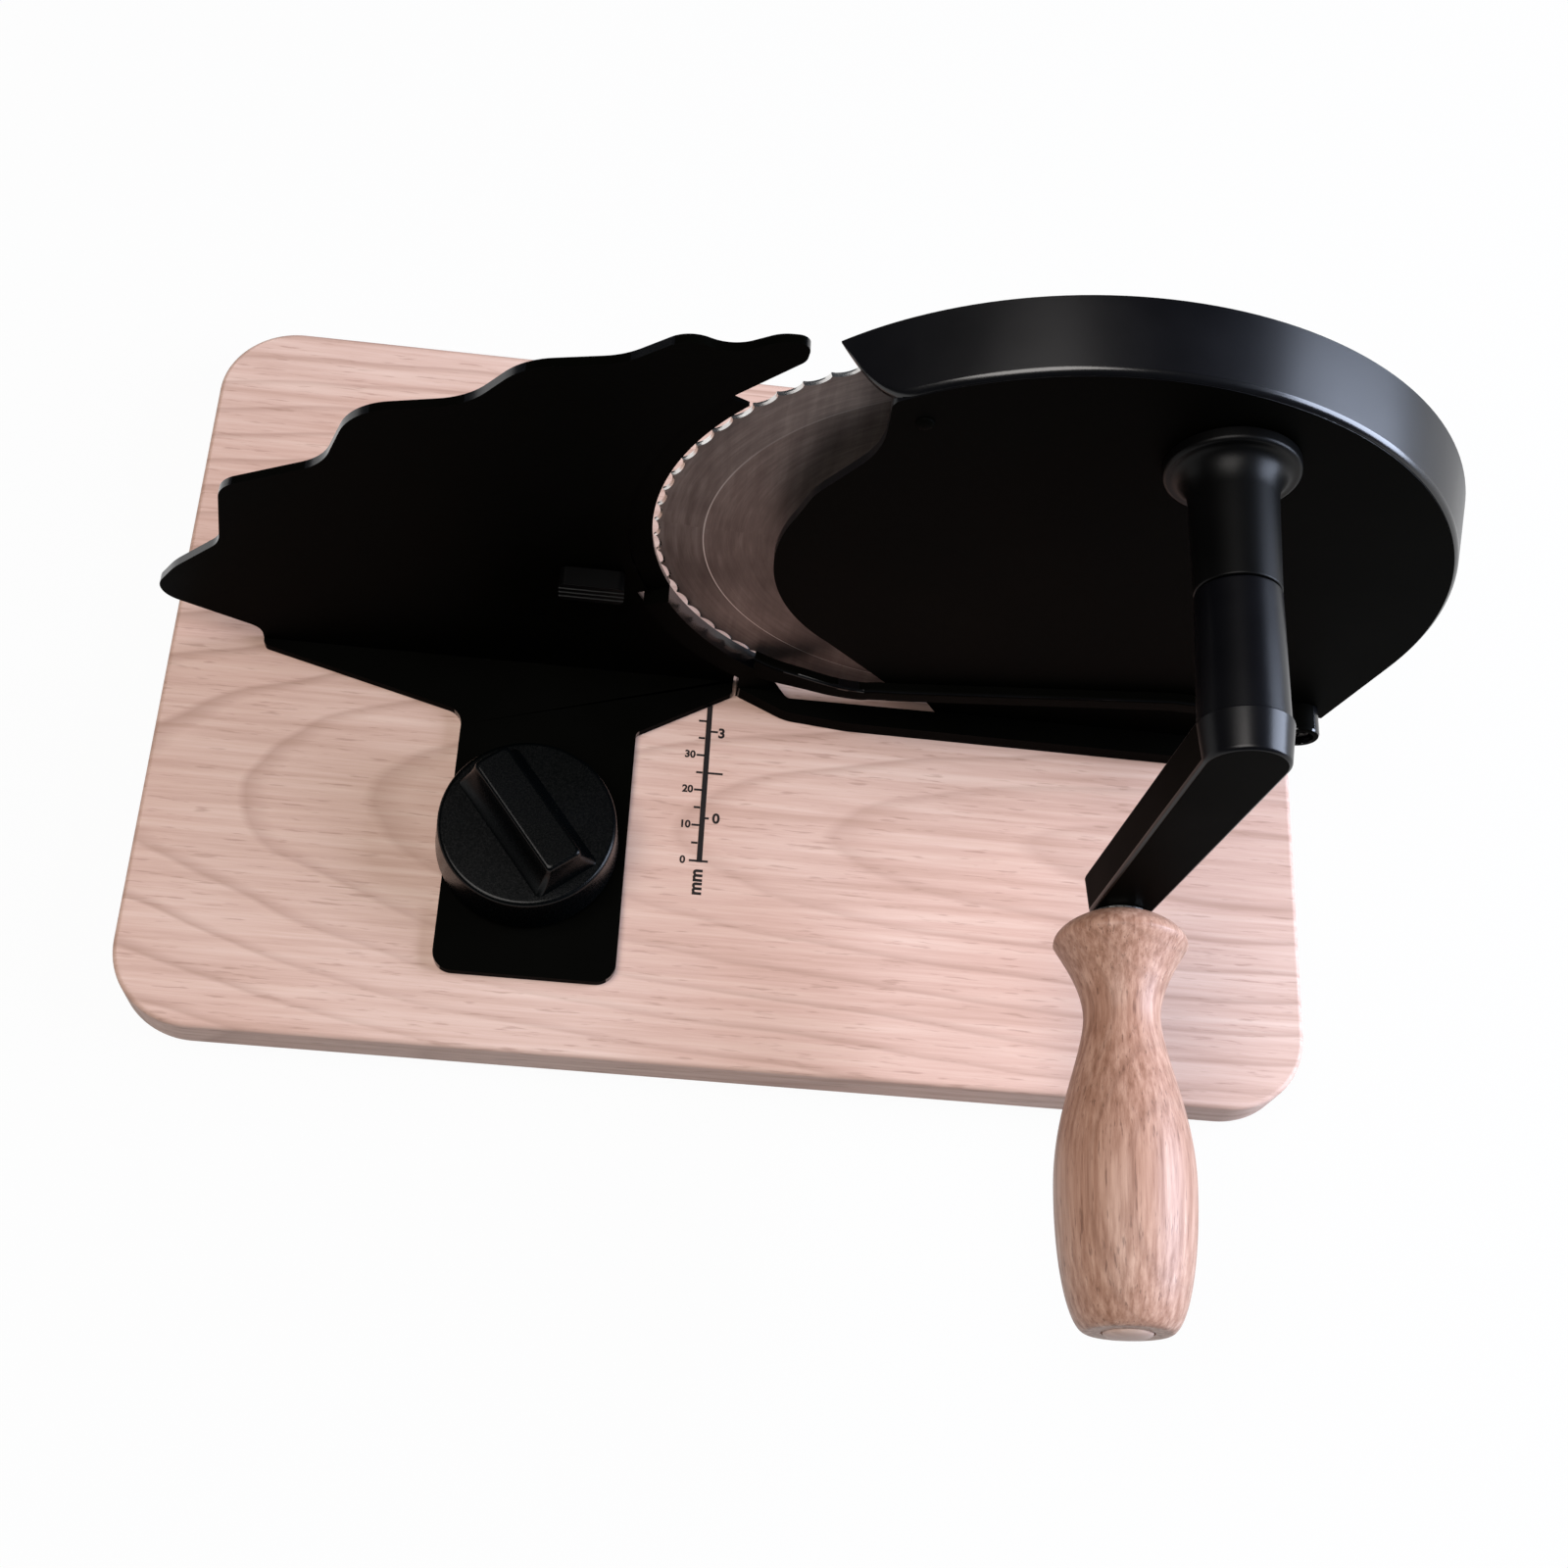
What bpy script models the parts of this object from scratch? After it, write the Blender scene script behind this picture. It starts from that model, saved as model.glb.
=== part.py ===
# Hand crank bread slicer: a beech board carries an enamelled housing with a round blade,
# a sliding stop plate that sets the slice thickness, and a crank with a turned handle.
#
# X runs along the board to the right, Y from the user's side to the loaf's side, Z up.
# The pieces are drawn about the point of the worktop below the centre of the board, and
# the whole slicer is then moved so that the origin is below the middle of its box.
# The blade, the crank and the handle turn about axes along Y, and the stop slides along Y.

import math

import bmesh
import bpy
from mathutils import Vector

mm = 0.001

# Fits
SEAT_GAP = 0.3 * mm
RUNNING_GAP = 0.8 * mm
GUARD_GAP = 1.2 * mm

# Board and feet
BOARD_LENGTH = 360 * mm
BOARD_WIDTH = 245 * mm
BOARD_THICKNESS = 16 * mm
BOARD_CORNER = 25 * mm
BOARD_EDGE = 1.5 * mm
FOOT_HEIGHT = 4 * mm
FOOT_RADIUS = 9 * mm
FOOT_INSET = 32 * mm
BOARD_TOP = FOOT_HEIGHT + BOARD_THICKNESS

# Blade
BLADE_RADIUS = 93 * mm
BLADE_THICKNESS = 2.0 * mm
BLADE_EDGE_THICKNESS = 0.5 * mm
BLADE_BEVEL = 14 * mm
BLADE_TEETH = 72
TOOTH_DEPTH = 1.7 * mm
BLADE_FRONT = 4.1 * mm
BLADE_X = 59.5 * mm
BLADE_LIFT = 1.5 * mm
BLADE_Z = BOARD_TOP + BLADE_LIFT + BLADE_RADIUS
BLADE_BACK = BLADE_FRONT + BLADE_THICKNESS

# Gear train: a pinion on the crank shaft, an idler below it and the wheel on the blade
GEAR_MODULE = 2.0 * mm
PINION_TEETH = 19
IDLER_TEETH = 14
WHEEL_TEETH = 50
GEAR_WIDTH = 5.5 * mm
GEAR_ADDENDUM = 0.8 * GEAR_MODULE
GEAR_DEDENDUM = 1.0 * GEAR_MODULE
GEAR_BACKLASH = 0.3 * mm
PRESSURE_ANGLE = math.radians(20)
WHEEL_RADIUS = GEAR_MODULE * WHEEL_TEETH / 2
IDLER_RADIUS = GEAR_MODULE * IDLER_TEETH / 2
PINION_RADIUS = GEAR_MODULE * PINION_TEETH / 2
IDLER_PIN_RADIUS = 3.0 * mm

# Crank axis, above and to the right of the blade's
CRANK_SHIFT = 48 * mm
CRANK_LIFT = 75 * mm
CRANK_X = BLADE_X + CRANK_SHIFT
CRANK_Z = BLADE_Z + CRANK_LIFT

# Housing: a face plate in front of the gears and a hood rim that reaches back over the blade
FACE_THICKNESS = 2.5 * mm
FACE_FRONT = -8.0 * mm
FACE_BACK = FACE_FRONT + FACE_THICKNESS
HOOD_RADIUS = BLADE_RADIUS + 12 * mm
HOOD_X = BLADE_X + 23 * mm
HOOD_Z = BLADE_Z + 2.5 * mm
HOOD_FLARE = 3.5 * mm
HOOD_BACK = 12 * mm
HOOD_WALL = 2.2 * mm
HOOD_EDGE = 2.0 * mm
HOOD_START = math.radians(130)
HOOD_END = math.radians(-12)
BULGE_SHIFT = 2.5 * mm
BULGE_LIFT = 9.5 * mm
BULGE_ROOM = 10.4 * mm
NOSE_RADIUS = 30 * mm
LEDGE_LEFT = 46 * mm
WEB_LEFT = 65 * mm
WEB_FRONT = -1.0 * mm
WEB_THICKNESS = 2.5 * mm
SHELL_FOOT_HEIGHT = 4.0 * mm
SHELL_FOOT_LENGTH = 66 * mm

# Axle, bush and cap of the blade
AXLE_RADIUS = 6.0 * mm
AXLE_FLANGE_RADIUS = 12.0 * mm
AXLE_FLANGE = 1.8 * mm
AXLE_SPIGOT_RADIUS = 5.0 * mm
AXLE_SPIGOT = 1.5 * mm
BUSH_WALL = 1.8 * mm
HUB_RADIUS = 17 * mm
HUB_SPIGOT_RADIUS = 11.0 * mm
CAP_RADIUS = 22 * mm
CAP_THICKNESS = 2.6 * mm

# Crank bearing: a flanged sleeve on the face plate with two bushes
SHAFT_RADIUS = 5.0 * mm
SLEEVE_LENGTH = 37 * mm
SLEEVE_RADIUS = 11.2 * mm
SLEEVE_END_RADIUS = 10.7 * mm
SLEEVE_FLANGE_RADIUS = 17.2 * mm
SLEEVE_FLANGE = 3.4 * mm
SLEEVE_FILLET = 8 * mm
SLEEVE_BORE_RADIUS = 8.0 * mm
SHAFT_BUSH_LENGTH = 9 * mm

# Crank arm and handle
HEAD_LENGTH = 46 * mm
HEAD_RADIUS = 11.8 * mm
ARM_LENGTH = 97.5 * mm
ARM_THICKNESS = 11 * mm
ARM_END_RADIUS = 9.4 * mm
ARM_DRAFT = 1.1 * mm
ARM_ANGLE = math.radians(2.6)
PIN_RADIUS = 3.5 * mm
HANDLE_LENGTH = 111.7 * mm
HANDLE_CAP_RADIUS = 8.8 * mm
HANDLE_RING_RADIUS = 18.3 * mm
HANDLE_NECK_RADIUS = 10.3 * mm
HANDLE_BELLY_RADIUS = 18.6 * mm
HANDLE_END_RADIUS = 10.6 * mm
PLUG_RADIUS = 6.5 * mm
PLUG_DEPTH = 9 * mm

# Stop plate and its foot
STOP_FRONT = 4.0 * mm
STOP_THICKNESS = 2.6 * mm
STOP_LIP_THICKNESS = 1.4 * mm
STOP_LIP_WIDTH = 6.0 * mm
STOP_LIP_GAP = 4.0 * mm
STOP_LEFT = -181 * mm
FINGER_REACH = 14 * mm
FINGER_ANGLE = math.radians(123.4)
LIP_ANGLE = math.radians(140.5)
STOP_TRAVEL = 20 * mm
CATCH_LENGTH = 19 * mm
CATCH_HEIGHT = 9 * mm
CATCH_GAP = 5.8 * mm
CATCH_LIFT = 4.2 * mm
SHOE_THICKNESS = 3.0 * mm
SHOE_LEFT = -87 * mm
SHOE_RIGHT = -32.5 * mm
SHOE_FRONT = -100 * mm
SHOE_CORNER = 6 * mm
WING_LEFT = -151 * mm
WING_RIGHT = -3.2 * mm
WING_DEPTH = 17 * mm

# Guard frame: an arm beside the blade, a rail along the housing and a bar on the board
ARM_GUARD_WIDTH = 8.0 * mm
ARM_GUARD_START = math.radians(203.5)
ARM_GUARD_FRONT = 0.8 * mm
ARM_GUARD_BACK = 6.6 * mm
BAR_HEIGHT = 6.0 * mm
BAR_RIGHT = 168 * mm
BAR_FRONT = -8.8 * mm
BAR_BACK = WEB_FRONT - SEAT_GAP
RAIL_HEIGHT = 6.0 * mm
RAIL_DEPTH = 3.3 * mm
RAIL_LIFT = 30.5 * mm
RAIL_RISE = 0.133
BOSS_RADIUS = 6.0 * mm
BOSS_LENGTH = 9.0 * mm
BOSS_X = 168 * mm
BOSS_LIFT = 43 * mm

# Clamp knob with its bolt, which slides in a slot of the board
CLAMP_X = -62.5 * mm
CLAMP_Y = -58 * mm
BOLT_RADIUS = 3.0 * mm
BOLT_HEAD = 10 * mm
KNOB_RADIUS = 27.6 * mm
KNOB_DRAFT = 1.0 * mm
KNOB_HEIGHT = 16.0 * mm
GRIP_LENGTH = 41 * mm
GRIP_WIDTH = 11.8 * mm
GRIP_FLARE = 4.6 * mm
GRIP_HEIGHT = 11 * mm
WASHER_RADIUS = 14 * mm
GRIP_ANGLE = math.radians(-52)
TRACK_THICKNESS = 2.0 * mm
TRACK_WIDTH = 23 * mm
TRACK_DEPTH = 7.5 * mm
SLOT_END = 4.5 * mm

# Screws
SCREW_RADIUS = 1.7 * mm
SMALL_SCREW_RADIUS = 1.25 * mm
HEAD_RATIO = 2.1


def clear_scene():
    for thing in list(bpy.data.objects):
        bpy.data.objects.remove(thing, do_unlink=True)


def material(name, colour, roughness, metallic=0.0):
    """A plain surface for the pieces made of one stuff."""
    surface = bpy.data.materials.new(name)
    surface.use_nodes = True
    shader = surface.node_tree.nodes["Principled BSDF"]
    shader.inputs["Base Color"].default_value = (*colour, 1)
    shader.inputs["Roughness"].default_value = roughness
    shader.inputs["Metallic"].default_value = metallic
    return surface


def axis_point(axis, a, b, along):
    """(a, b) across the axis and along it: X and Z across Y, X and Y across Z."""
    if axis == "Y":
        return (a, along, b)
    return (a, b, along)


def arc(centre, radius, start, end, step=math.radians(9)):
    """Points on an arc, both ends included."""
    count = max(1, math.ceil(abs(end - start) / step))
    points = []
    for k in range(count + 1):
        angle = start + (end - start) * k / count
        points.append((centre[0] + radius * math.cos(angle), centre[1] + radius * math.sin(angle)))
    return points


def rounded(corners, step=math.radians(22)):
    """A closed outline through corners (a, b, radius), each rounded as its sides allow."""
    points = []
    for i, (a, b, radius) in enumerate(corners):
        corner = Vector((a, b))
        before = Vector(corners[i - 1][:2]) - corner
        after = Vector(corners[(i + 1) % len(corners)][:2]) - corner
        half = before.angle(after) / 2
        if radius == 0 or half > math.radians(89):
            points.append((a, b))
            continue
        reach = min(radius / math.tan(half), 0.48 * before.length, 0.48 * after.length)
        fillet = reach * math.tan(half)
        middle = (before.normalized() + after.normalized()).normalized()
        centre = corner + middle * (fillet / math.sin(half))
        first = corner + before.normalized() * reach - centre
        turn = math.pi - 2 * half
        sign = 1 if before.x * after.y - before.y * after.x < 0 else -1
        count = max(1, math.ceil(turn / step))
        for k in range(count + 1):
            angle = sign * turn * k / count
            cos, sin = math.cos(angle), math.sin(angle)
            points.append((centre.x + first.x * cos - first.y * sin,
                           centre.y + first.x * sin + first.y * cos))
    return points


def prism(outline, axis, low, high, mesh=None):
    """An outline drawn out along an axis, added to a mesh."""
    mesh = mesh or bmesh.new()
    bottom = [mesh.verts.new(axis_point(axis, a, b, low)) for a, b in outline]
    top = [mesh.verts.new(axis_point(axis, a, b, high)) for a, b in outline]
    mesh.faces.new(bottom)
    mesh.faces.new(top)
    for k in range(len(outline)):
        mesh.faces.new((bottom[k - 1], bottom[k], top[k], top[k - 1]))
    return mesh


def turned(profile, axis="Y", segments=32, centre=(0, 0), hollow=False, mesh=None):
    """A profile of (radius, along) turned about an axis through the centre."""
    mesh = mesh or bmesh.new()
    rings = []
    for radius, along in profile:
        angles = [2 * math.pi * k / segments for k in range(segments if radius else 1)]
        rings.append([mesh.verts.new(axis_point(axis, centre[0] + radius * math.cos(angle),
                                                centre[1] + radius * math.sin(angle), along))
                      for angle in angles])
    pairs = list(zip(rings, rings[1:]))
    if hollow:
        pairs.append((rings[-1], rings[0]))
    else:
        for ring in (rings[0], rings[-1]):
            if len(ring) > 1:
                mesh.faces.new(ring)
    for one, two in pairs:
        for k in range(segments):
            j = (k + 1) % segments
            if len(one) == 1:
                mesh.faces.new((one[0], two[k], two[j]))
            elif len(two) == 1:
                mesh.faces.new((one[k], one[j], two[0]))
            else:
                mesh.faces.new((one[k], one[j], two[j], two[k]))
    return mesh


def lofted(sections, mesh=None):
    """A solid drawn through cross-sections with the same number of points."""
    mesh = mesh or bmesh.new()
    rings = [[mesh.verts.new(point) for point in section] for section in sections]
    mesh.faces.new(rings[0])
    mesh.faces.new(rings[-1])
    for one, two in zip(rings, rings[1:]):
        for k in range(len(one)):
            mesh.faces.new((one[k - 1], one[k], two[k], two[k - 1]))
    return mesh


def place(name, mesh, parent=None):
    """An object from a mesh drawn about its parent's place."""
    bmesh.ops.recalc_face_normals(mesh, faces=mesh.faces[:])
    data = bpy.data.meshes.new(name)
    mesh.to_mesh(data)
    mesh.free()
    thing = bpy.data.objects.new(name, data)
    bpy.context.scene.collection.objects.link(thing)
    thing.parent = parent
    return thing


def piece(name, mesh, surface, parent=None):
    """A finished piece, shaded smooth up to its sharp edges."""
    thing = place(name, mesh, parent)
    thing.data.materials.append(surface)
    thing.data.shade_smooth()
    thing.data.set_sharp_from_angle(angle=math.radians(32))
    return thing


def copies(name, mesh, surface, axis, spots, parent=None):
    """One piece at its spots across an axis, each its own object on the same mesh."""
    first = piece(f"{name}_1" if len(spots) > 1 else name, mesh, surface, parent)
    first.location = axis_point(axis, *spots[0], 0)
    for k, spot in enumerate(spots[1:], 2):
        thing = bpy.data.objects.new(f"{name}_{k}", first.data)
        bpy.context.scene.collection.objects.link(thing)
        thing.parent = parent
        thing.location = axis_point(axis, *spot, 0)


def combine(thing, other, operation):
    """Joins another solid to a piece, or cuts it out of the piece."""
    guide = place(f"{thing.name}_{operation.lower()}_{len(thing.modifiers)}", other, thing.parent)
    guide.hide_render = True
    guide.display_type = "WIRE"
    step = thing.modifiers.new(operation.title(), "BOOLEAN")
    step.operation = operation
    step.solver = "EXACT"
    step.object = guide


def soften(thing, width, segments=1, angle=math.radians(40)):
    """Breaks the sharp edges of a piece."""
    step = thing.modifiers.new("Edges", "BEVEL")
    step.width = width
    step.segments = segments
    step.limit_method = "ANGLE"
    step.angle_limit = angle


def holder(name, x, y, z, parent=None):
    """An empty on a joint's axis."""
    empty = bpy.data.objects.new(name, None)
    bpy.context.scene.collection.objects.link(empty)
    empty.parent = parent
    empty.location = (x, y, z)
    return empty


def screw(head_radius, radius, head_side, head, tip, axis, segments=12):
    """A flat-headed screw from its head's outer face, past the head's seat, to its tip."""
    profile = [(0, head_side), (head_radius, head_side), (head_radius, head), (radius, head),
               (radius, tip), (0, tip)]
    return turned(profile, axis, segments)


def holes(axis, spots, profile, segments=12, mesh=None):
    """The same turned hollow at several spots."""
    mesh = mesh or bmesh.new()
    for spot in spots:
        turned(profile, axis, segments, spot, mesh=mesh)
    return mesh


def gear_outline(teeth, phase):
    """Involute teeth about the origin, from root to tip, phase in radians."""
    pitch = GEAR_MODULE * teeth / 2
    base = pitch * math.cos(PRESSURE_ANGLE)

    def half_angle(radius):
        at_pitch = math.pi / (2 * teeth) - GEAR_BACKLASH / (2 * pitch)
        roll = math.acos(min(1, base / radius))
        inv = math.tan(roll) - roll
        return at_pitch + math.tan(PRESSURE_ANGLE) - PRESSURE_ANGLE - inv

    root = pitch - GEAR_DEDENDUM
    tip = pitch + GEAR_ADDENDUM
    points = []
    for k in range(teeth):
        middle = phase + 2 * math.pi * k / teeth
        for radius, side in ((root, -1), (tip, -1), (tip, 1), (root, 1)):
            angle = middle + side * half_angle(radius)
            points.append((radius * math.cos(angle), radius * math.sin(angle)))
    return points


def blade_ring(radius, bite):
    """The blade's outline, with a scallop of four points for each tooth where it bites."""
    points = []
    for k in range(BLADE_TEETH):
        for part, depth in ((0.0, 0.0), (0.2, 0.72), (0.5, 1.0), (0.8, 0.72)):
            angle = 2 * math.pi * (k + part) / BLADE_TEETH
            reach = radius - bite * depth
            points.append((reach * math.cos(angle), reach * math.sin(angle)))
    return points


def rail_height(x):
    """Lower edge of the guard rail, above the board: it climbs to the right up to the boss."""
    turn = BOSS_X - 40 * mm
    level = BOARD_TOP + RAIL_LIFT + RAIL_RISE * (min(x, turn) - 44 * mm)
    if x > turn:
        level -= (x - turn) * 0.06
    return level


def make_board(wood, rubber, steel):
    half_length = BOARD_LENGTH / 2
    half_width = BOARD_WIDTH / 2
    corners = [(-half_length, -half_width, BOARD_CORNER), (half_length, -half_width, BOARD_CORNER),
               (half_length, half_width, BOARD_CORNER), (-half_length, half_width, BOARD_CORNER)]
    outline = rounded(corners, math.radians(15))
    board = piece("base_board", prism(outline, "Z", FOOT_HEIGHT, BOARD_TOP), wood)
    soften(board, BOARD_EDGE, 2)

    # Slot for the clamp bolt, and the pocket below it for the track and the bolt's head
    slot_half = BOLT_RADIUS + SEAT_GAP
    slot_low = CLAMP_Y - STOP_TRAVEL - SLOT_END
    slot_high = CLAMP_Y + SLOT_END
    slot = [(CLAMP_X - slot_half, slot_low, slot_half), (CLAMP_X + slot_half, slot_low, slot_half),
            (CLAMP_X + slot_half, slot_high, slot_half), (CLAMP_X - slot_half, slot_high, slot_half)]
    combine(board, prism(rounded(slot), "Z", FOOT_HEIGHT - BOARD_EDGE, BOARD_TOP + BOARD_EDGE),
            "DIFFERENCE")
    pocket_half = TRACK_WIDTH / 2 + SEAT_GAP
    pocket_low = slot_low - 10 * mm
    pocket_high = slot_high + 10 * mm
    pocket = [(CLAMP_X - pocket_half, pocket_low, 4 * mm), (CLAMP_X + pocket_half, pocket_low, 4 * mm),
              (CLAMP_X + pocket_half, pocket_high, 4 * mm), (CLAMP_X - pocket_half, pocket_high, 4 * mm)]
    pocket_top = FOOT_HEIGHT + TRACK_DEPTH
    combine(board, prism(rounded(pocket), "Z", FOOT_HEIGHT - BOARD_EDGE, pocket_top), "DIFFERENCE")

    # Track: a slotted steel strip screwed up into the pocket
    inset = 2 * SEAT_GAP
    middle = CLAMP_Y - STOP_TRAVEL / 2
    strip = [(a + math.copysign(inset, CLAMP_X - a), b + math.copysign(inset, middle - b), r)
             for a, b, r in pocket]
    track_top = pocket_top - SEAT_GAP
    track_low = track_top - TRACK_THICKNESS
    track = piece("clamp_track", prism(rounded(strip), "Z", track_low, track_top), steel)
    combine(track, prism(rounded(slot), "Z", track_low - 1 * mm, track_top + 1 * mm), "DIFFERENCE")
    track_spots = [(CLAMP_X, pocket_low + 5 * mm), (CLAMP_X, pocket_high - 5 * mm)]
    copies("track_screw", screw(SMALL_SCREW_RADIUS * HEAD_RATIO, SMALL_SCREW_RADIUS, track_low - 1.4 * mm,
                                track_low - SEAT_GAP, BOARD_TOP - 3 * mm, "Z"), steel, "Z", track_spots)
    bore = SMALL_SCREW_RADIUS + SEAT_GAP
    pilots = holes("Z", track_spots, [(bore, pocket_top - 1 * mm), (bore, BOARD_TOP - 2.5 * mm)])
    combine(track, holes("Z", track_spots, [(bore, track_low - 1 * mm), (bore, track_top + 1 * mm)]),
            "DIFFERENCE")

    # Feet, each held by a screw in its hollow
    foot_x = half_length - FOOT_INSET
    foot_y = half_width - FOOT_INSET
    spots = [(-foot_x, -foot_y), (foot_x, -foot_y), (foot_x, foot_y), (-foot_x, foot_y)]
    bore = SCREW_RADIUS + SEAT_GAP
    head_radius = SCREW_RADIUS * HEAD_RATIO
    hollow_radius = head_radius + 2 * SEAT_GAP
    hollow_top = FOOT_HEIGHT * 0.5
    foot_top = FOOT_HEIGHT - SEAT_GAP
    foot = [(hollow_radius, 0), (FOOT_RADIUS - 1 * mm, 0), (FOOT_RADIUS, 1 * mm), (FOOT_RADIUS, foot_top),
            (bore, foot_top), (bore, hollow_top), (hollow_radius, hollow_top)]
    copies("rubber_foot", turned(foot, "Z", 16, hollow=True), rubber, "Z", spots)
    copies("foot_screw", screw(head_radius, SCREW_RADIUS, hollow_top - 1.6 * mm, hollow_top - SEAT_GAP,
                               FOOT_HEIGHT + 9 * mm, "Z"), steel, "Z", spots)
    holes("Z", spots, [(bore, FOOT_HEIGHT - BOARD_EDGE), (bore, FOOT_HEIGHT + 9.5 * mm)], mesh=pilots)
    combine(board, pilots, "DIFFERENCE")
    return board


def fix_from_below(board, name, spots, sink, tip, steel):
    """Screws with sunk heads that hold a casting down on the board; returns their bores above it."""
    head_radius = SCREW_RADIUS * HEAD_RATIO
    sink_radius = head_radius + 2 * SEAT_GAP
    bore = SCREW_RADIUS + SEAT_GAP
    seat = FOOT_HEIGHT + sink
    copies(name, screw(head_radius, SCREW_RADIUS, seat - 2 * mm, seat - SEAT_GAP, tip, "Z"), steel,
           "Z", spots)
    low = FOOT_HEIGHT - BOARD_EDGE
    high = BOARD_TOP + BOARD_EDGE
    sunk = [(0, low), (sink_radius, low), (sink_radius, seat), (bore, seat), (bore, high), (0, high)]
    combine(board, holes("Z", spots, sunk), "DIFFERENCE")
    return holes("Z", spots, [(bore, BOARD_TOP - 1 * mm), (bore, tip + SEAT_GAP)])


def hood_section(angle, front):
    """Cross-section of the hood's rim at an angle, square to its outline, from its front edge."""
    out = (math.cos(angle), math.sin(angle))
    depth = HOOD_BACK - FACE_FRONT
    edge = min(HOOD_EDGE, 0.3 * (HOOD_BACK - front))

    def point(radius_in, y):
        flare = HOOD_FLARE * (y - FACE_FRONT) / depth
        reach = HOOD_RADIUS + flare - radius_in
        return (HOOD_X + out[0] * reach, y, HOOD_Z + out[1] * reach)

    return [point(edge, front), point(0.3 * edge, front + 0.3 * edge), point(0, front + edge),
            point(0, HOOD_BACK), point(HOOD_WALL, HOOD_BACK), point(HOOD_WALL, front)]


def make_housing(board, enamel, steel):
    # Rim: the hood's arc with a slanted left end, then straight down to the board
    back_start = HOOD_START + math.radians(3.5)
    sections = []
    for share, front_share in ((0, 0.97), (0.12, 0.72), (0.3, 0.42), (0.5, 0.17), (0.72, 0.04), (1, 0)):
        angle = back_start - share * math.radians(11)
        front = FACE_FRONT + front_share * (HOOD_BACK - FACE_FRONT)
        sections.append(hood_section(angle, front))
    first = back_start - math.radians(11)
    count = 16
    for k in range(1, count + 1):
        sections.append(hood_section(first + (HOOD_END - first) * k / count, FACE_FRONT))
    down = (math.sin(HOOD_END), -math.cos(HOOD_END))
    foot = BOARD_TOP + SEAT_GAP
    last = []
    for x, y, z in sections[-1]:
        run = (z - foot) / -down[1]
        last.append((x + down[0] * run, y, foot))
    sections.append(last)
    shell = piece("housing_shell", lofted(sections), enamel)

    # Face plate: bulges to the left over the gear, and ends at the ledge above the rail
    centre = (HOOD_X, HOOD_Z)
    bulge_centre = (BLADE_X + BULGE_SHIFT, BLADE_Z + BULGE_LIFT)
    bulge_radius = WHEEL_RADIUS + GEAR_ADDENDUM + BULGE_ROOM
    inner = HOOD_RADIUS - HOOD_WALL / 2
    ledge_left = LEDGE_LEFT
    side_x = HOOD_X + inner * math.cos(HOOD_END)
    side_z = HOOD_Z + inner * math.sin(HOOD_END)
    ledge_right = side_x + down[0] * (side_z - rail_height(BOSS_X)) / -down[1]
    top = arc(centre, inner, HOOD_START - math.radians(4), HOOD_END)
    left = arc(bulge_centre, bulge_radius, math.radians(228), math.radians(160))
    turn = rounded([(left[-1][0], left[-1][1], 0),
                    (left[-1][0] + 3.2 * mm, left[-1][1] + 11.3 * mm, 20 * mm),
                    (left[-1][0] + 17.7 * mm, left[-1][1] + 34.8 * mm, NOSE_RADIUS),
                    (top[0][0] - 1 * mm, top[0][1] - 2 * mm, 3 * mm),
                    (top[0][0], top[0][1], 0)], math.radians(10))[1:-1]
    outline = top + [(ledge_right, rail_height(BOSS_X)), (BOSS_X - 40 * mm, rail_height(BOSS_X - 40 * mm)),
                     (ledge_left, rail_height(ledge_left))] + left + turn
    combine(shell, prism(outline, "Y", FACE_FRONT, FACE_BACK), "UNION")

    # Ledge and web: the lower part of the plate steps back behind the rail
    web_back = WEB_FRONT + WEB_THICKNESS
    web_left = WEB_LEFT
    step = FACE_THICKNESS
    ledge = [(ledge_left, rail_height(ledge_left)), (BOSS_X - 40 * mm, rail_height(BOSS_X - 40 * mm)),
             (ledge_right, rail_height(BOSS_X)), (ledge_right, rail_height(BOSS_X) + step),
             (BOSS_X - 40 * mm, rail_height(BOSS_X - 40 * mm) + step),
             (ledge_left, rail_height(ledge_left) + step)]
    combine(shell, prism(ledge, "Y", FACE_FRONT + 1 * mm, web_back), "UNION")
    foot_x = side_x + down[0] * (side_z - foot) / -down[1]
    web = [(web_left, foot), (foot_x, foot), (ledge_right, rail_height(BOSS_X) + step / 2),
           (BOSS_X - 40 * mm, rail_height(BOSS_X - 40 * mm) + step / 2),
           (ledge_left, rail_height(ledge_left) + step / 2)]
    combine(shell, prism(web, "Y", WEB_FRONT, web_back), "UNION")

    # The rim's foot in front of the web is cut away with the step
    cut = [(ledge_left, foot - 1 * mm), (foot_x + 20 * mm, foot - 1 * mm),
           (foot_x + 20 * mm, rail_height(BOSS_X)), (BOSS_X - 40 * mm, rail_height(BOSS_X - 40 * mm)),
           (ledge_left, rail_height(ledge_left))]
    combine(shell, prism(cut, "Y", FACE_FRONT - 5 * mm, WEB_FRONT), "DIFFERENCE")

    # Foot inside the rim, screwed down from below the board
    shoe_left = foot_x - SHELL_FOOT_LENGTH
    shoe = [(shoe_left, web_back - 1 * mm), (foot_x, web_back - 1 * mm), (foot_x, HOOD_BACK),
            (shoe_left, HOOD_BACK)]
    combine(shell, prism(shoe, "Z", foot, foot + SHELL_FOOT_HEIGHT), "UNION")
    spots = [(shoe_left + 9 * mm, HOOD_BACK - 4.5 * mm), (foot_x - 12 * mm, HOOD_BACK - 4.5 * mm)]
    bores = fix_from_below(board, "housing_screw", spots, 5 * mm, foot + SHELL_FOOT_HEIGHT - 1 * mm, steel)

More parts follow.
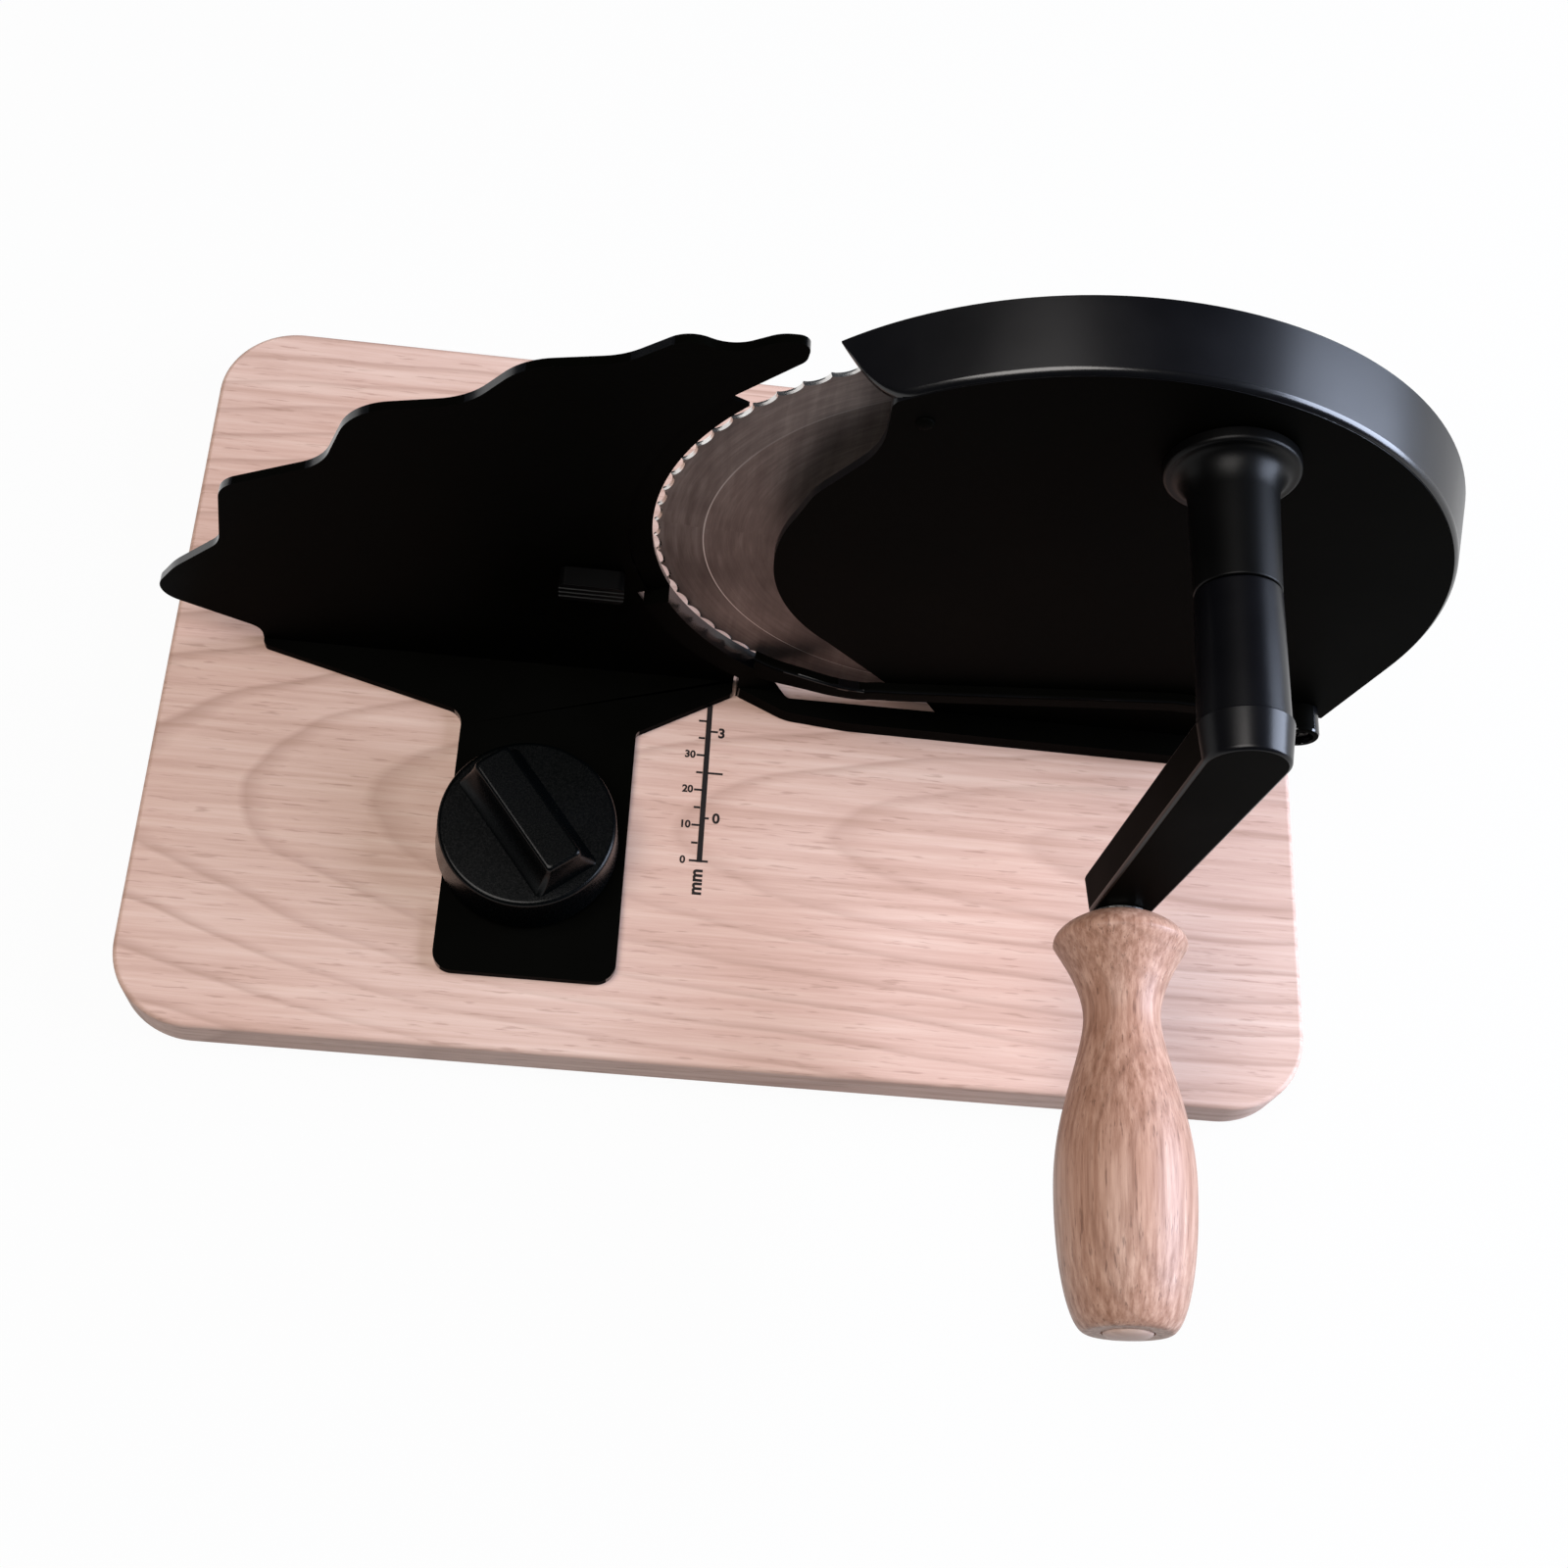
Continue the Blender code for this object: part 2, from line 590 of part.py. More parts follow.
    # Holes for the sleeve, its screws, the axle's spigot, the boss's screw and the rivet
    turned([(SLEEVE_BORE_RADIUS + 2 * mm + SEAT_GAP, FACE_FRONT - 1 * mm),
            (SLEEVE_BORE_RADIUS + 2 * mm + SEAT_GAP, FACE_BACK + 1 * mm)],
           "Y", 28, (CRANK_X, CRANK_Z), mesh=bores)
    bore = SMALL_SCREW_RADIUS + SEAT_GAP
    sink = SMALL_SCREW_RADIUS * HEAD_RATIO + SEAT_GAP
    seat = FACE_FRONT + 1 * mm
    holes("Y", sleeve_screw_spots(), [(0, FACE_FRONT - 1 * mm), (bore, FACE_FRONT - 1 * mm), (bore, seat),
                                      (sink, seat), (sink, FACE_BACK + 1 * mm), (0, FACE_BACK + 1 * mm)],
          mesh=bores)
    turned([(AXLE_SPIGOT_RADIUS + SEAT_GAP, FACE_BACK - AXLE_SPIGOT - SEAT_GAP),
            (AXLE_SPIGOT_RADIUS + SEAT_GAP, FACE_BACK + 1 * mm)], "Y", 20, (BLADE_X, BLADE_Z), mesh=bores)
    turned([(IDLER_PIN_RADIUS + SEAT_GAP, FACE_BACK - AXLE_SPIGOT - SEAT_GAP),
            (IDLER_PIN_RADIUS + SEAT_GAP, FACE_BACK + 1 * mm)], "Y", 20, idler_spot(), mesh=bores)
    turned([(SCREW_RADIUS + SEAT_GAP, FACE_FRONT - 1 * mm), (SCREW_RADIUS + SEAT_GAP, FACE_BACK + 1 * mm)],
           "Y", 12, (BOSS_X, BOARD_TOP + BOSS_LIFT), mesh=bores)
    rivet = (BLADE_X - 30 * mm, HOOD_Z + HOOD_RADIUS - 28.5 * mm)
    turned([(bore, FACE_FRONT - 1 * mm), (bore, FACE_BACK + 1 * mm)], "Y", 10, rivet, mesh=bores)
    combine(shell, bores, "DIFFERENCE")
    head = SMALL_SCREW_RADIUS * 1.8
    stud = turned([(0, FACE_FRONT - 1.2 * mm), (head * 0.6, FACE_FRONT - 1.1 * mm),
                   (head, FACE_FRONT - 0.6 * mm), (head, FACE_FRONT - SEAT_GAP),
                   (SMALL_SCREW_RADIUS, FACE_FRONT - SEAT_GAP),
                   (SMALL_SCREW_RADIUS, FACE_BACK + SEAT_GAP), (head, FACE_BACK + SEAT_GAP),
                   (head, FACE_BACK + 1 * mm), (0, FACE_BACK + 1 * mm)], "Y", 14, rivet)
    piece("face_rivet", stud, enamel)


def sleeve_screw_spots():
    """Three screws through the face plate into the sleeve's flange."""
    reach = (SLEEVE_FLANGE_RADIUS + SLEEVE_BORE_RADIUS + 2 * mm) / 2
    return arc((CRANK_X, CRANK_Z), reach, math.radians(30), math.radians(270), math.radians(120))


def make_guard(board, enamel, steel):
    # Arm beside the blade, from its free end down to the board
    foot = BOARD_TOP + SEAT_GAP
    inner = BLADE_RADIUS + GUARD_GAP
    outer = inner + ARM_GUARD_WIDTH
    left_x = -2 * mm
    right_x = 8 * mm
    outer_end = math.pi + math.acos((BLADE_X - left_x) / outer)
    inner_end = math.pi + math.acos((BLADE_X - right_x) / inner)
    centre = (BLADE_X, BLADE_Z)
    outline = arc(centre, outer, ARM_GUARD_START, outer_end, math.radians(5))
    outline += [(left_x, foot), (right_x, foot)]
    outline += arc(centre, inner, inner_end, ARM_GUARD_START, math.radians(5))
    frame = piece("guard_frame", prism(outline, "Y", ARM_GUARD_FRONT, ARM_GUARD_BACK), enamel)

    # Bar on the board, curved back to the arm at its left end
    bar = [(left_x, ARM_GUARD_BACK, 0), (left_x, ARM_GUARD_FRONT, 2 * mm),
           (14 * mm, -6.4 * mm, 16 * mm), (34 * mm, BAR_FRONT + 0.6 * mm, 14 * mm),
           (BAR_RIGHT, BAR_FRONT - 0.4 * mm, 2 * mm), (BAR_RIGHT, BAR_BACK, 0.5 * mm),
           (right_x + 6 * mm, BAR_BACK, 3 * mm), (right_x, ARM_GUARD_BACK, 0)]
    combine(frame, prism(rounded(bar), "Z", foot, foot + BAR_HEIGHT), "UNION")

    # Rail: leaves the arm, comes forward past the blade and runs along the face plate
    stations = [(2 * mm, 1 * mm, 14 * mm, 25.5 * mm), (8 * mm, -1 * mm, 15.5 * mm, 25 * mm),
                (17 * mm, -4.0 * mm, 18.5 * mm, 26.5 * mm), (26 * mm, -7.6 * mm, 22.6 * mm, 29.4 * mm)]
    front = FACE_FRONT - SEAT_GAP - RAIL_DEPTH
    sections = []
    for x, y, low, high in stations:
        sections.append(rail_section(x, y, BOARD_TOP + low, BOARD_TOP + high))
    for x in (35 * mm, 46 * mm, 75 * mm, 100 * mm, BOSS_X - 40 * mm, BOSS_X - 20 * mm, BOSS_X):
        low = rail_height(x)
        sections.append(rail_section(x, front, low, low + RAIL_HEIGHT))
    combine(frame, lofted(sections), "UNION")

    # Boss at the rail's end with the screw that holds it to the face plate
    spot = (BOSS_X, BOARD_TOP + BOSS_LIFT)
    nose = FACE_FRONT - SEAT_GAP - BOSS_LENGTH
    combine(frame, turned([(BOSS_RADIUS - 0.8 * mm, nose), (BOSS_RADIUS, nose + 0.8 * mm),
                           (BOSS_RADIUS, FACE_FRONT - SEAT_GAP)], "Y", 24, spot), "UNION")
    recess = BOSS_RADIUS * 0.66
    depth = nose + 4 * mm
    combine(frame, turned([(0, nose - 1 * mm), (recess, nose - 1 * mm), (recess, depth),
                           (SCREW_RADIUS + SEAT_GAP, depth), (SCREW_RADIUS + SEAT_GAP, FACE_FRONT + 1 * mm),
                           (0, FACE_FRONT + 1 * mm)], "Y", 20, spot), "DIFFERENCE")
    copies("corner_screw", screw(recess - SEAT_GAP, SCREW_RADIUS, depth - 2 * mm, depth - SEAT_GAP,
                                 FACE_BACK - 0.5 * mm, "Y", 16), steel, "Y", [spot])

    spots = [(22 * mm, -3.6 * mm), (BAR_RIGHT - 40 * mm, (BAR_FRONT + BAR_BACK) / 2)]
    bores = fix_from_below(board, "frame_screw", spots, 5 * mm, foot + BAR_HEIGHT - 1 * mm, steel)
    combine(frame, bores, "DIFFERENCE")


def rail_section(x, front, low, high):
    """Upright cross-section of the rail with a rounded upper front edge."""
    edge = 1 * mm
    back = front + RAIL_DEPTH
    return [(x, front, low), (x, front, high - edge), (x, front + 0.3 * edge, high - 0.3 * edge),
            (x, front + edge, high), (x, back, high), (x, back, low)]


def make_blade(steel, nylon, bronze, dark_steel):
    axle_low = FACE_BACK + SEAT_GAP
    flange_top = axle_low + AXLE_FLANGE
    blade_axis = holder("blade_axis", BLADE_X, 0, BLADE_Z)

    # Disc: flat back, ground bevel on the front, scalloped edge
    mesh = bmesh.new()
    outlines = ((BLADE_RADIUS - BLADE_BEVEL, 0, BLADE_FRONT),
                (BLADE_RADIUS, TOOTH_DEPTH, BLADE_BACK - BLADE_EDGE_THICKNESS),
                (BLADE_RADIUS, TOOTH_DEPTH, BLADE_BACK))
    rings = []
    for radius, bite, y in outlines:
        rings.append([mesh.verts.new((x, y, z)) for x, z in blade_ring(radius, bite)])
    mesh.faces.new(rings[0])
    mesh.faces.new(rings[-1])
    for one, two in zip(rings, rings[1:]):
        for k in range(len(one)):
            mesh.faces.new((one[k - 1], one[k], two[k], two[k - 1]))
    disc = piece("blade_disc", mesh, steel, blade_axis)
    bores = turned([(HUB_SPIGOT_RADIUS + SEAT_GAP, BLADE_FRONT - 1 * mm),
                    (HUB_SPIGOT_RADIUS + SEAT_GAP, BLADE_BACK + 1 * mm)], "Y", 28)

    # Gear wheel with its hub, which carries the disc on a spigot
    wheel_front = FACE_BACK + RUNNING_GAP
    wheel_back = wheel_front + GEAR_WIDTH
    hub_back = BLADE_FRONT - SEAT_GAP
    spigot_back = BLADE_BACK - SEAT_GAP
    wheel = piece("blade_gear", prism(gear_outline(WHEEL_TEETH, 0), "Y", wheel_front, wheel_back),
                  nylon, blade_axis)
    hub = turned([(0, wheel_back - 1 * mm), (HUB_RADIUS, wheel_back - 1 * mm), (HUB_RADIUS, hub_back),
                  (HUB_SPIGOT_RADIUS, hub_back), (HUB_SPIGOT_RADIUS, spigot_back), (0, spigot_back)],
                 "Y", 28)
    combine(wheel, hub, "UNION")
    bush_inner = AXLE_RADIUS + SEAT_GAP
    bush_outer = bush_inner + BUSH_WALL
    counterbore = flange_top + SEAT_GAP
    flange_room = AXLE_FLANGE_RADIUS + 2 * SEAT_GAP
    hollows = turned([(0, wheel_front - 1 * mm), (flange_room, wheel_front - 1 * mm),
                      (flange_room, counterbore), (bush_outer + SEAT_GAP, counterbore),
                      (bush_outer + SEAT_GAP, spigot_back + 1 * mm), (0, spigot_back + 1 * mm)], "Y", 28)
    reach = (HUB_RADIUS + HUB_SPIGOT_RADIUS + SEAT_GAP) / 2
    spots = arc((0, 0), reach, math.radians(90), math.radians(330), math.radians(120))
    bore = SMALL_SCREW_RADIUS + SEAT_GAP
    head = SMALL_SCREW_RADIUS * 1.6
    sunk = BLADE_BACK - 1.1 * mm
    tip = hub_back - 4 * mm
    sink = head + SEAT_GAP
    holes("Y", spots, [(0, BLADE_BACK + 1 * mm), (sink, BLADE_BACK + 1 * mm), (sink, sunk),
                       (bore, sunk), (bore, BLADE_FRONT - 1 * mm), (0, BLADE_FRONT - 1 * mm)], mesh=bores)
    holes("Y", spots, [(bore, tip - SEAT_GAP), (bore, hub_back + 0.5 * mm)], mesh=hollows)
    combine(disc, bores, "DIFFERENCE")
    combine(wheel, hollows, "DIFFERENCE")
    copies("gear_screw", screw(head, SMALL_SCREW_RADIUS, BLADE_BACK - SEAT_GAP / 3,
                               sunk + SEAT_GAP / 2, tip, "Y"), steel, "Y", spots, blade_axis)
    piece("blade_bush", turned([(bush_inner, counterbore + SEAT_GAP), (bush_outer, counterbore + SEAT_GAP),
                                (bush_outer, spigot_back), (bush_inner, spigot_back)],
                               "Y", 24, hollow=True), bronze, blade_axis)

    # Fixed axle, cap and screw
    axle_end = BLADE_BACK + SEAT_GAP
    axle = turned([(0, axle_low - AXLE_SPIGOT), (AXLE_SPIGOT_RADIUS, axle_low - AXLE_SPIGOT),
                   (AXLE_SPIGOT_RADIUS, axle_low), (AXLE_FLANGE_RADIUS, axle_low),
                   (AXLE_FLANGE_RADIUS, flange_top), (AXLE_RADIUS, flange_top),
                   (AXLE_RADIUS, axle_end), (2.3 * mm, axle_end),
                   (2.3 * mm, flange_top), (0, flange_top)], "Y", 24, (BLADE_X, BLADE_Z))
    piece("blade_axle", axle, dark_steel)
    cap_low = axle_end + SEAT_GAP
    cap_high = cap_low + CAP_THICKNESS
    head_seat = cap_high - 1.4 * mm
    cap = turned([(2.3 * mm, cap_low), (CAP_RADIUS - 0.4 * mm, cap_low), (CAP_RADIUS, cap_low + 0.6 * mm),
                  (CAP_RADIUS - 1 * mm, cap_high - 0.6 * mm), (CAP_RADIUS - 4 * mm, cap_high),
                  (5.6 * mm, cap_high), (5.6 * mm, head_seat), (2.3 * mm, head_seat)],
                 "Y", 36, (BLADE_X, BLADE_Z), hollow=True)
    piece("axle_cap", cap, steel)
    copies("cap_screw", screw(5.2 * mm, 2 * mm, cap_high + 0.4 * mm, head_seat + SEAT_GAP,
                              flange_top + SEAT_GAP, "Y", 20), dark_steel, "Y", [(BLADE_X, BLADE_Z)])


def make_crank_bearing(enamel, steel, bronze):
    """Flanged sleeve on the face plate, its screws and bushes."""
    spot = (CRANK_X, CRANK_Z)
    seat = FACE_FRONT - SEAT_GAP
    nose = seat - SLEEVE_LENGTH
    spigot = SLEEVE_BORE_RADIUS + 2 * mm
    lip = 1 * mm
    rim = seat - SLEEVE_FLANGE
    profile = [(SLEEVE_BORE_RADIUS, FACE_BACK - SEAT_GAP), (spigot, FACE_BACK - SEAT_GAP), (spigot, seat),
               (SLEEVE_FLANGE_RADIUS, seat), (SLEEVE_FLANGE_RADIUS, rim + 1 * mm),
               (SLEEVE_FLANGE_RADIUS - 1 * mm, rim)]
    fillet = SLEEVE_FLANGE_RADIUS - 1.8 * mm - SLEEVE_RADIUS
    for k in range(5):
        angle = math.radians(90) * k / 4
        profile.append((SLEEVE_RADIUS + fillet * (1 - math.sin(angle)),
                        rim - SLEEVE_FILLET * (1 - math.cos(angle))))
    profile += [(SLEEVE_END_RADIUS, nose + 0.4 * mm), (SLEEVE_END_RADIUS - 0.4 * mm, nose),
               (SHAFT_RADIUS + 2 * SEAT_GAP, nose), (SHAFT_RADIUS + 2 * SEAT_GAP, nose + lip),
               (SLEEVE_BORE_RADIUS, nose + lip)]
    sleeve = piece("crank_sleeve", turned(profile, "Y", 32, spot, hollow=True), enamel)
    head = SMALL_SCREW_RADIUS * HEAD_RATIO
    bore = SMALL_SCREW_RADIUS + SEAT_GAP
    tip = seat - SLEEVE_FLANGE + 1 * mm
    spots = sleeve_screw_spots()
    combine(sleeve, holes("Y", spots, [(bore, tip - SEAT_GAP), (bore, seat + 1 * mm)]), "DIFFERENCE")
    copies("sleeve_screw", screw(head, SMALL_SCREW_RADIUS, FACE_BACK - SEAT_GAP / 2,
                                 FACE_FRONT + 1 * mm + SEAT_GAP, tip, "Y"), steel, "Y", spots)
    inner = SHAFT_RADIUS + SEAT_GAP
    outer = SLEEVE_BORE_RADIUS - SEAT_GAP
    for name, start in (("front_bush", nose + lip + SEAT_GAP),
                        ("rear_bush", FACE_BACK - SEAT_GAP - SHAFT_BUSH_LENGTH)):
        end = start + SHAFT_BUSH_LENGTH
        ring = [(inner, start), (outer, start), (outer, end), (inner, end)]
        piece(name, turned(ring, "Y", 24, spot, hollow=True), bronze)
    return nose


def arm_outline(inset):
    """The arm seen along the crank axis: round about both axes, and narrower at the pin."""
    lean = math.asin((HEAD_RADIUS - ARM_END_RADIUS) / ARM_LENGTH)
    points = arc((0, 0), HEAD_RADIUS - inset, -lean, math.pi + lean, math.radians(15))
    points += arc((0, -ARM_LENGTH), ARM_END_RADIUS - inset, math.pi + lean, 2 * math.pi - lean,
                  math.radians(17))
    cos, sin = math.cos(-ARM_ANGLE), math.sin(-ARM_ANGLE)
    return [(a * cos - b * sin, a * sin + b * cos) for a, b in points]


def handle_outline():
    """The handle's outline from the arm outwards: flared ring, slim neck, belly, rounded end."""
    ring_at = 0.072 * HANDLE_LENGTH
    neck_at = 0.26 * HANDLE_LENGTH
    belly_at = 0.67 * HANDLE_LENGTH
    spans = [(ring_at, HANDLE_RING_RADIUS, 4, lambda t: math.sin(math.pi * t / 2) ** 0.75),
             (neck_at, HANDLE_NECK_RADIUS, 5, lambda t: math.sin(math.pi * t / 2)),
             (belly_at, HANDLE_BELLY_RADIUS, 6, lambda t: (1 - math.cos(math.pi * t ** 0.78)) / 2),
             (HANDLE_LENGTH, HANDLE_END_RADIUS, 6, lambda t: 1 - math.sqrt(1 - t * t))]
    points = [(HANDLE_CAP_RADIUS, 0)]
    for stop, radius, steps, ease in spans:
        from_radius, start = points[-1]
        for k in range(1, steps + 1):
            t = math.sin(math.pi / 2 * k / steps) if radius == HANDLE_END_RADIUS else k / steps
            points.append((from_radius + (radius - from_radius) * ease(t), start + (stop - start) * t))
    return points


def make_crank(nose, enamel, steel, nylon, wood, pale_wood):
    crank_axis = holder("crank_axis", CRANK_X, 0, CRANK_Z)
    head_back = nose - SEAT_GAP
    arm_front = head_back - HEAD_LENGTH
    arm_back = arm_front + ARM_THICKNESS
    bore_end = arm_front + 10 * mm

    # Arm: a tapered round head with a flat drafted arm
    edge = 1.2 * mm
    sections = []
    for y, inset in ((arm_front, ARM_DRAFT + edge), (arm_front + 0.3 * edge, ARM_DRAFT + 0.3 * edge),
                     (arm_front + edge, ARM_DRAFT), (arm_back, 0)):
        sections.append([(a, y, b) for a, b in arm_outline(inset)])
    head = turned([(SLEEVE_END_RADIUS - 0.5 * mm, head_back), (SLEEVE_END_RADIUS, head_back - 0.6 * mm),
                   (HEAD_RADIUS - 0.7 * mm, arm_back - 1 * mm),
                   (HEAD_RADIUS - 2.5 * mm, arm_front + 3 * mm)], "Y", 30)
    arm = piece("crank_arm", head, enamel, crank_axis)
    combine(arm, lofted(sections), "UNION")
    shaft_bore = SHAFT_RADIUS + SEAT_GAP
    bores = turned([(shaft_bore, bore_end), (shaft_bore, head_back + 1 * mm)], "Y", 20)

    # Pin for the handle, at the end of the arm
    pin_x = -ARM_LENGTH * math.sin(ARM_ANGLE)
    pin_z = -ARM_LENGTH * math.cos(ARM_ANGLE)
    pin_spot = (pin_x, pin_z)
    turned([(PIN_RADIUS + SEAT_GAP, arm_front - 1 * mm), (PIN_RADIUS + SEAT_GAP, arm_back + 1 * mm)],
           "Y", 18, pin_spot, mesh=bores)
    # Cross screw from below the head into the shaft
    lock_y = head_back - 14 * mm
    lock_low = 1.2 * mm - SLEEVE_END_RADIUS
    turned([(2 * mm + SEAT_GAP, -HEAD_RADIUS - 5 * mm), (2 * mm + SEAT_GAP, 1 * mm - SHAFT_RADIUS)],
           "Z", 12, (0, lock_y), mesh=bores)
    combine(arm, bores, "DIFFERENCE")
    piece("lock_screw", turned([(2 * mm, lock_low), (2 * mm, -shaft_bore)], "Z", 12, (0, lock_y)),
          steel, crank_axis)

    # Shaft, pinion and the clip behind it
    wheel_front = FACE_BACK + RUNNING_GAP
    wheel_back = wheel_front + GEAR_WIDTH
    clip_low = wheel_back + SEAT_GAP
    clip_high = clip_low + 1.2 * mm
    shaft_end = clip_high + 0.6 * mm
    shaft_start = bore_end + SEAT_GAP
    shaft = turned([(0, shaft_start), (SHAFT_RADIUS - 0.6 * mm, shaft_start),
                    (SHAFT_RADIUS, shaft_start + 0.6 * mm), (SHAFT_RADIUS, shaft_end - 0.4 * mm),
                    (SHAFT_RADIUS - 0.4 * mm, shaft_end), (0, shaft_end)], "Y", 24)
    piece("crank_shaft", shaft, steel, crank_axis)
    idler_x, idler_z = idler_spot()
    to_idler = math.atan2(idler_z - BLADE_Z, idler_x - BLADE_X)
    to_crank = math.atan2(CRANK_Z - idler_z, CRANK_X - idler_x)
    idler_phase = meshing_phase(WHEEL_TEETH, 0, IDLER_TEETH, to_idler)
    phase = meshing_phase(IDLER_TEETH, idler_phase, PINION_TEETH, to_crank)
    pinion = piece("crank_pinion", prism(gear_outline(PINION_TEETH, phase), "Y", wheel_front, wheel_back),
                   nylon, crank_axis)
    combine(pinion, turned([(shaft_bore, wheel_front - 1 * mm), (shaft_bore, wheel_back + 1 * mm)],
                           "Y", 24), "DIFFERENCE")
    clip_radius = SHAFT_RADIUS + 3.5 * mm
    piece("pinion_clip", turned([(shaft_bore, clip_low), (clip_radius, clip_low),
                                 (clip_radius, clip_high), (shaft_bore, clip_high)],
                                "Y", 20, hollow=True), steel, crank_axis)

    # Idler on a pin in the face plate
    idler_axis = holder("idler_axis", idler_x, 0, idler_z)
    idler = piece("idler_gear", prism(gear_outline(IDLER_TEETH, idler_phase), "Y", wheel_front, wheel_back),
                  nylon, idler_axis)
    idler_bore = IDLER_PIN_RADIUS + SEAT_GAP
    combine(idler, turned([(idler_bore, wheel_front - 1 * mm), (idler_bore, wheel_back + 1 * mm)], "Y", 20),
            "DIFFERENCE")
    copies("idler_pin", turned([(0, FACE_BACK - AXLE_SPIGOT), (IDLER_PIN_RADIUS, FACE_BACK - AXLE_SPIGOT),
                                (IDLER_PIN_RADIUS, shaft_end - 0.4 * mm),
                                (IDLER_PIN_RADIUS - 0.4 * mm, shaft_end), (0, shaft_end)], "Y", 20),
           steel, "Y", [(idler_x, idler_z)])
    clip_radius = idler_bore + 2.6 * mm
    copies("idler_clip", turned([(idler_bore, clip_low), (clip_radius, clip_low),
                                 (clip_radius, clip_high), (idler_bore, clip_high)],
                                "Y", 20, hollow=True), steel, "Y", [(idler_x, idler_z)])

    # Handle pin with its head behind the arm, a washer, and the turned handle
    handle_start = arm_front - 1.3 * mm
    handle_end = handle_start - HANDLE_LENGTH
    pin_end = handle_end + PLUG_DEPTH + 6 * mm
    pin_head = PIN_RADIUS + 2.5 * mm
    pin_top = arm_back + 2 * mm
    pin = turned([(0, pin_top), (pin_head - 0.5 * mm, pin_top), (pin_head, pin_top - 0.6 * mm),
                  (pin_head, arm_back + SEAT_GAP), (PIN_RADIUS, arm_back + SEAT_GAP),
                  (PIN_RADIUS, pin_end), (0, pin_end)], "Y", 20, pin_spot)
    piece("handle_pin", pin, steel, crank_axis)
    washer_back = arm_front - SEAT_GAP
    washer_front = washer_back - 0.7 * mm
    washer_radius = HANDLE_CAP_RADIUS - 0.8 * mm
    piece("pin_washer", turned([(PIN_RADIUS + SEAT_GAP, washer_front), (washer_radius, washer_front),
                                (washer_radius, washer_back), (PIN_RADIUS + SEAT_GAP, washer_back)],
                               "Y", 20, pin_spot, hollow=True), steel, crank_axis)
    handle_axis = holder("handle_axis", pin_x, 0, pin_z, crank_axis)
    bore = PIN_RADIUS + SEAT_GAP
    profile = [(radius, handle_start - along) for radius, along in handle_outline()]
    plug_floor = handle_end + PLUG_DEPTH
    profile += [(PLUG_RADIUS + SEAT_GAP, handle_end), (PLUG_RADIUS + SEAT_GAP, plug_floor),
                (bore, plug_floor), (bore, handle_start)]
    piece("handle_grip", turned(profile, "Y", 28, hollow=True), wood, handle_axis)
    piece("handle_plug", turned([(0, plug_floor - SEAT_GAP), (PLUG_RADIUS, plug_floor - SEAT_GAP),
                                 (PLUG_RADIUS, handle_end), (PLUG_RADIUS - 1 * mm, handle_end - 1 * mm),
                                 (0, handle_end - 1.4 * mm)], "Y", 24), pale_wood, handle_axis)


def meshing_phase(teeth, phase, next_teeth, bearing):
    """Turns the next gear so that one of its gaps takes this gear's tooth on the line of centres."""
    lead = ((bearing - phase) * teeth / (2 * math.pi)) % 1
    return bearing + math.pi + (lead + 0.5) * 2 * math.pi / next_teeth


def idler_spot():
    """The idler's axis, below the line from the blade's axis to the crank's."""
    near = WHEEL_RADIUS + IDLER_RADIUS
    far = PINION_RADIUS + IDLER_RADIUS
    span = math.hypot(CRANK_SHIFT, CRANK_LIFT)
    along = (near ** 2 - far ** 2 + span ** 2) / (2 * span)
    aside = math.sqrt(near ** 2 - along ** 2)
    return (BLADE_X + (along * CRANK_SHIFT + aside * CRANK_LIFT) / span,
            BLADE_Z + (along * CRANK_LIFT - aside * CRANK_SHIFT) / span)


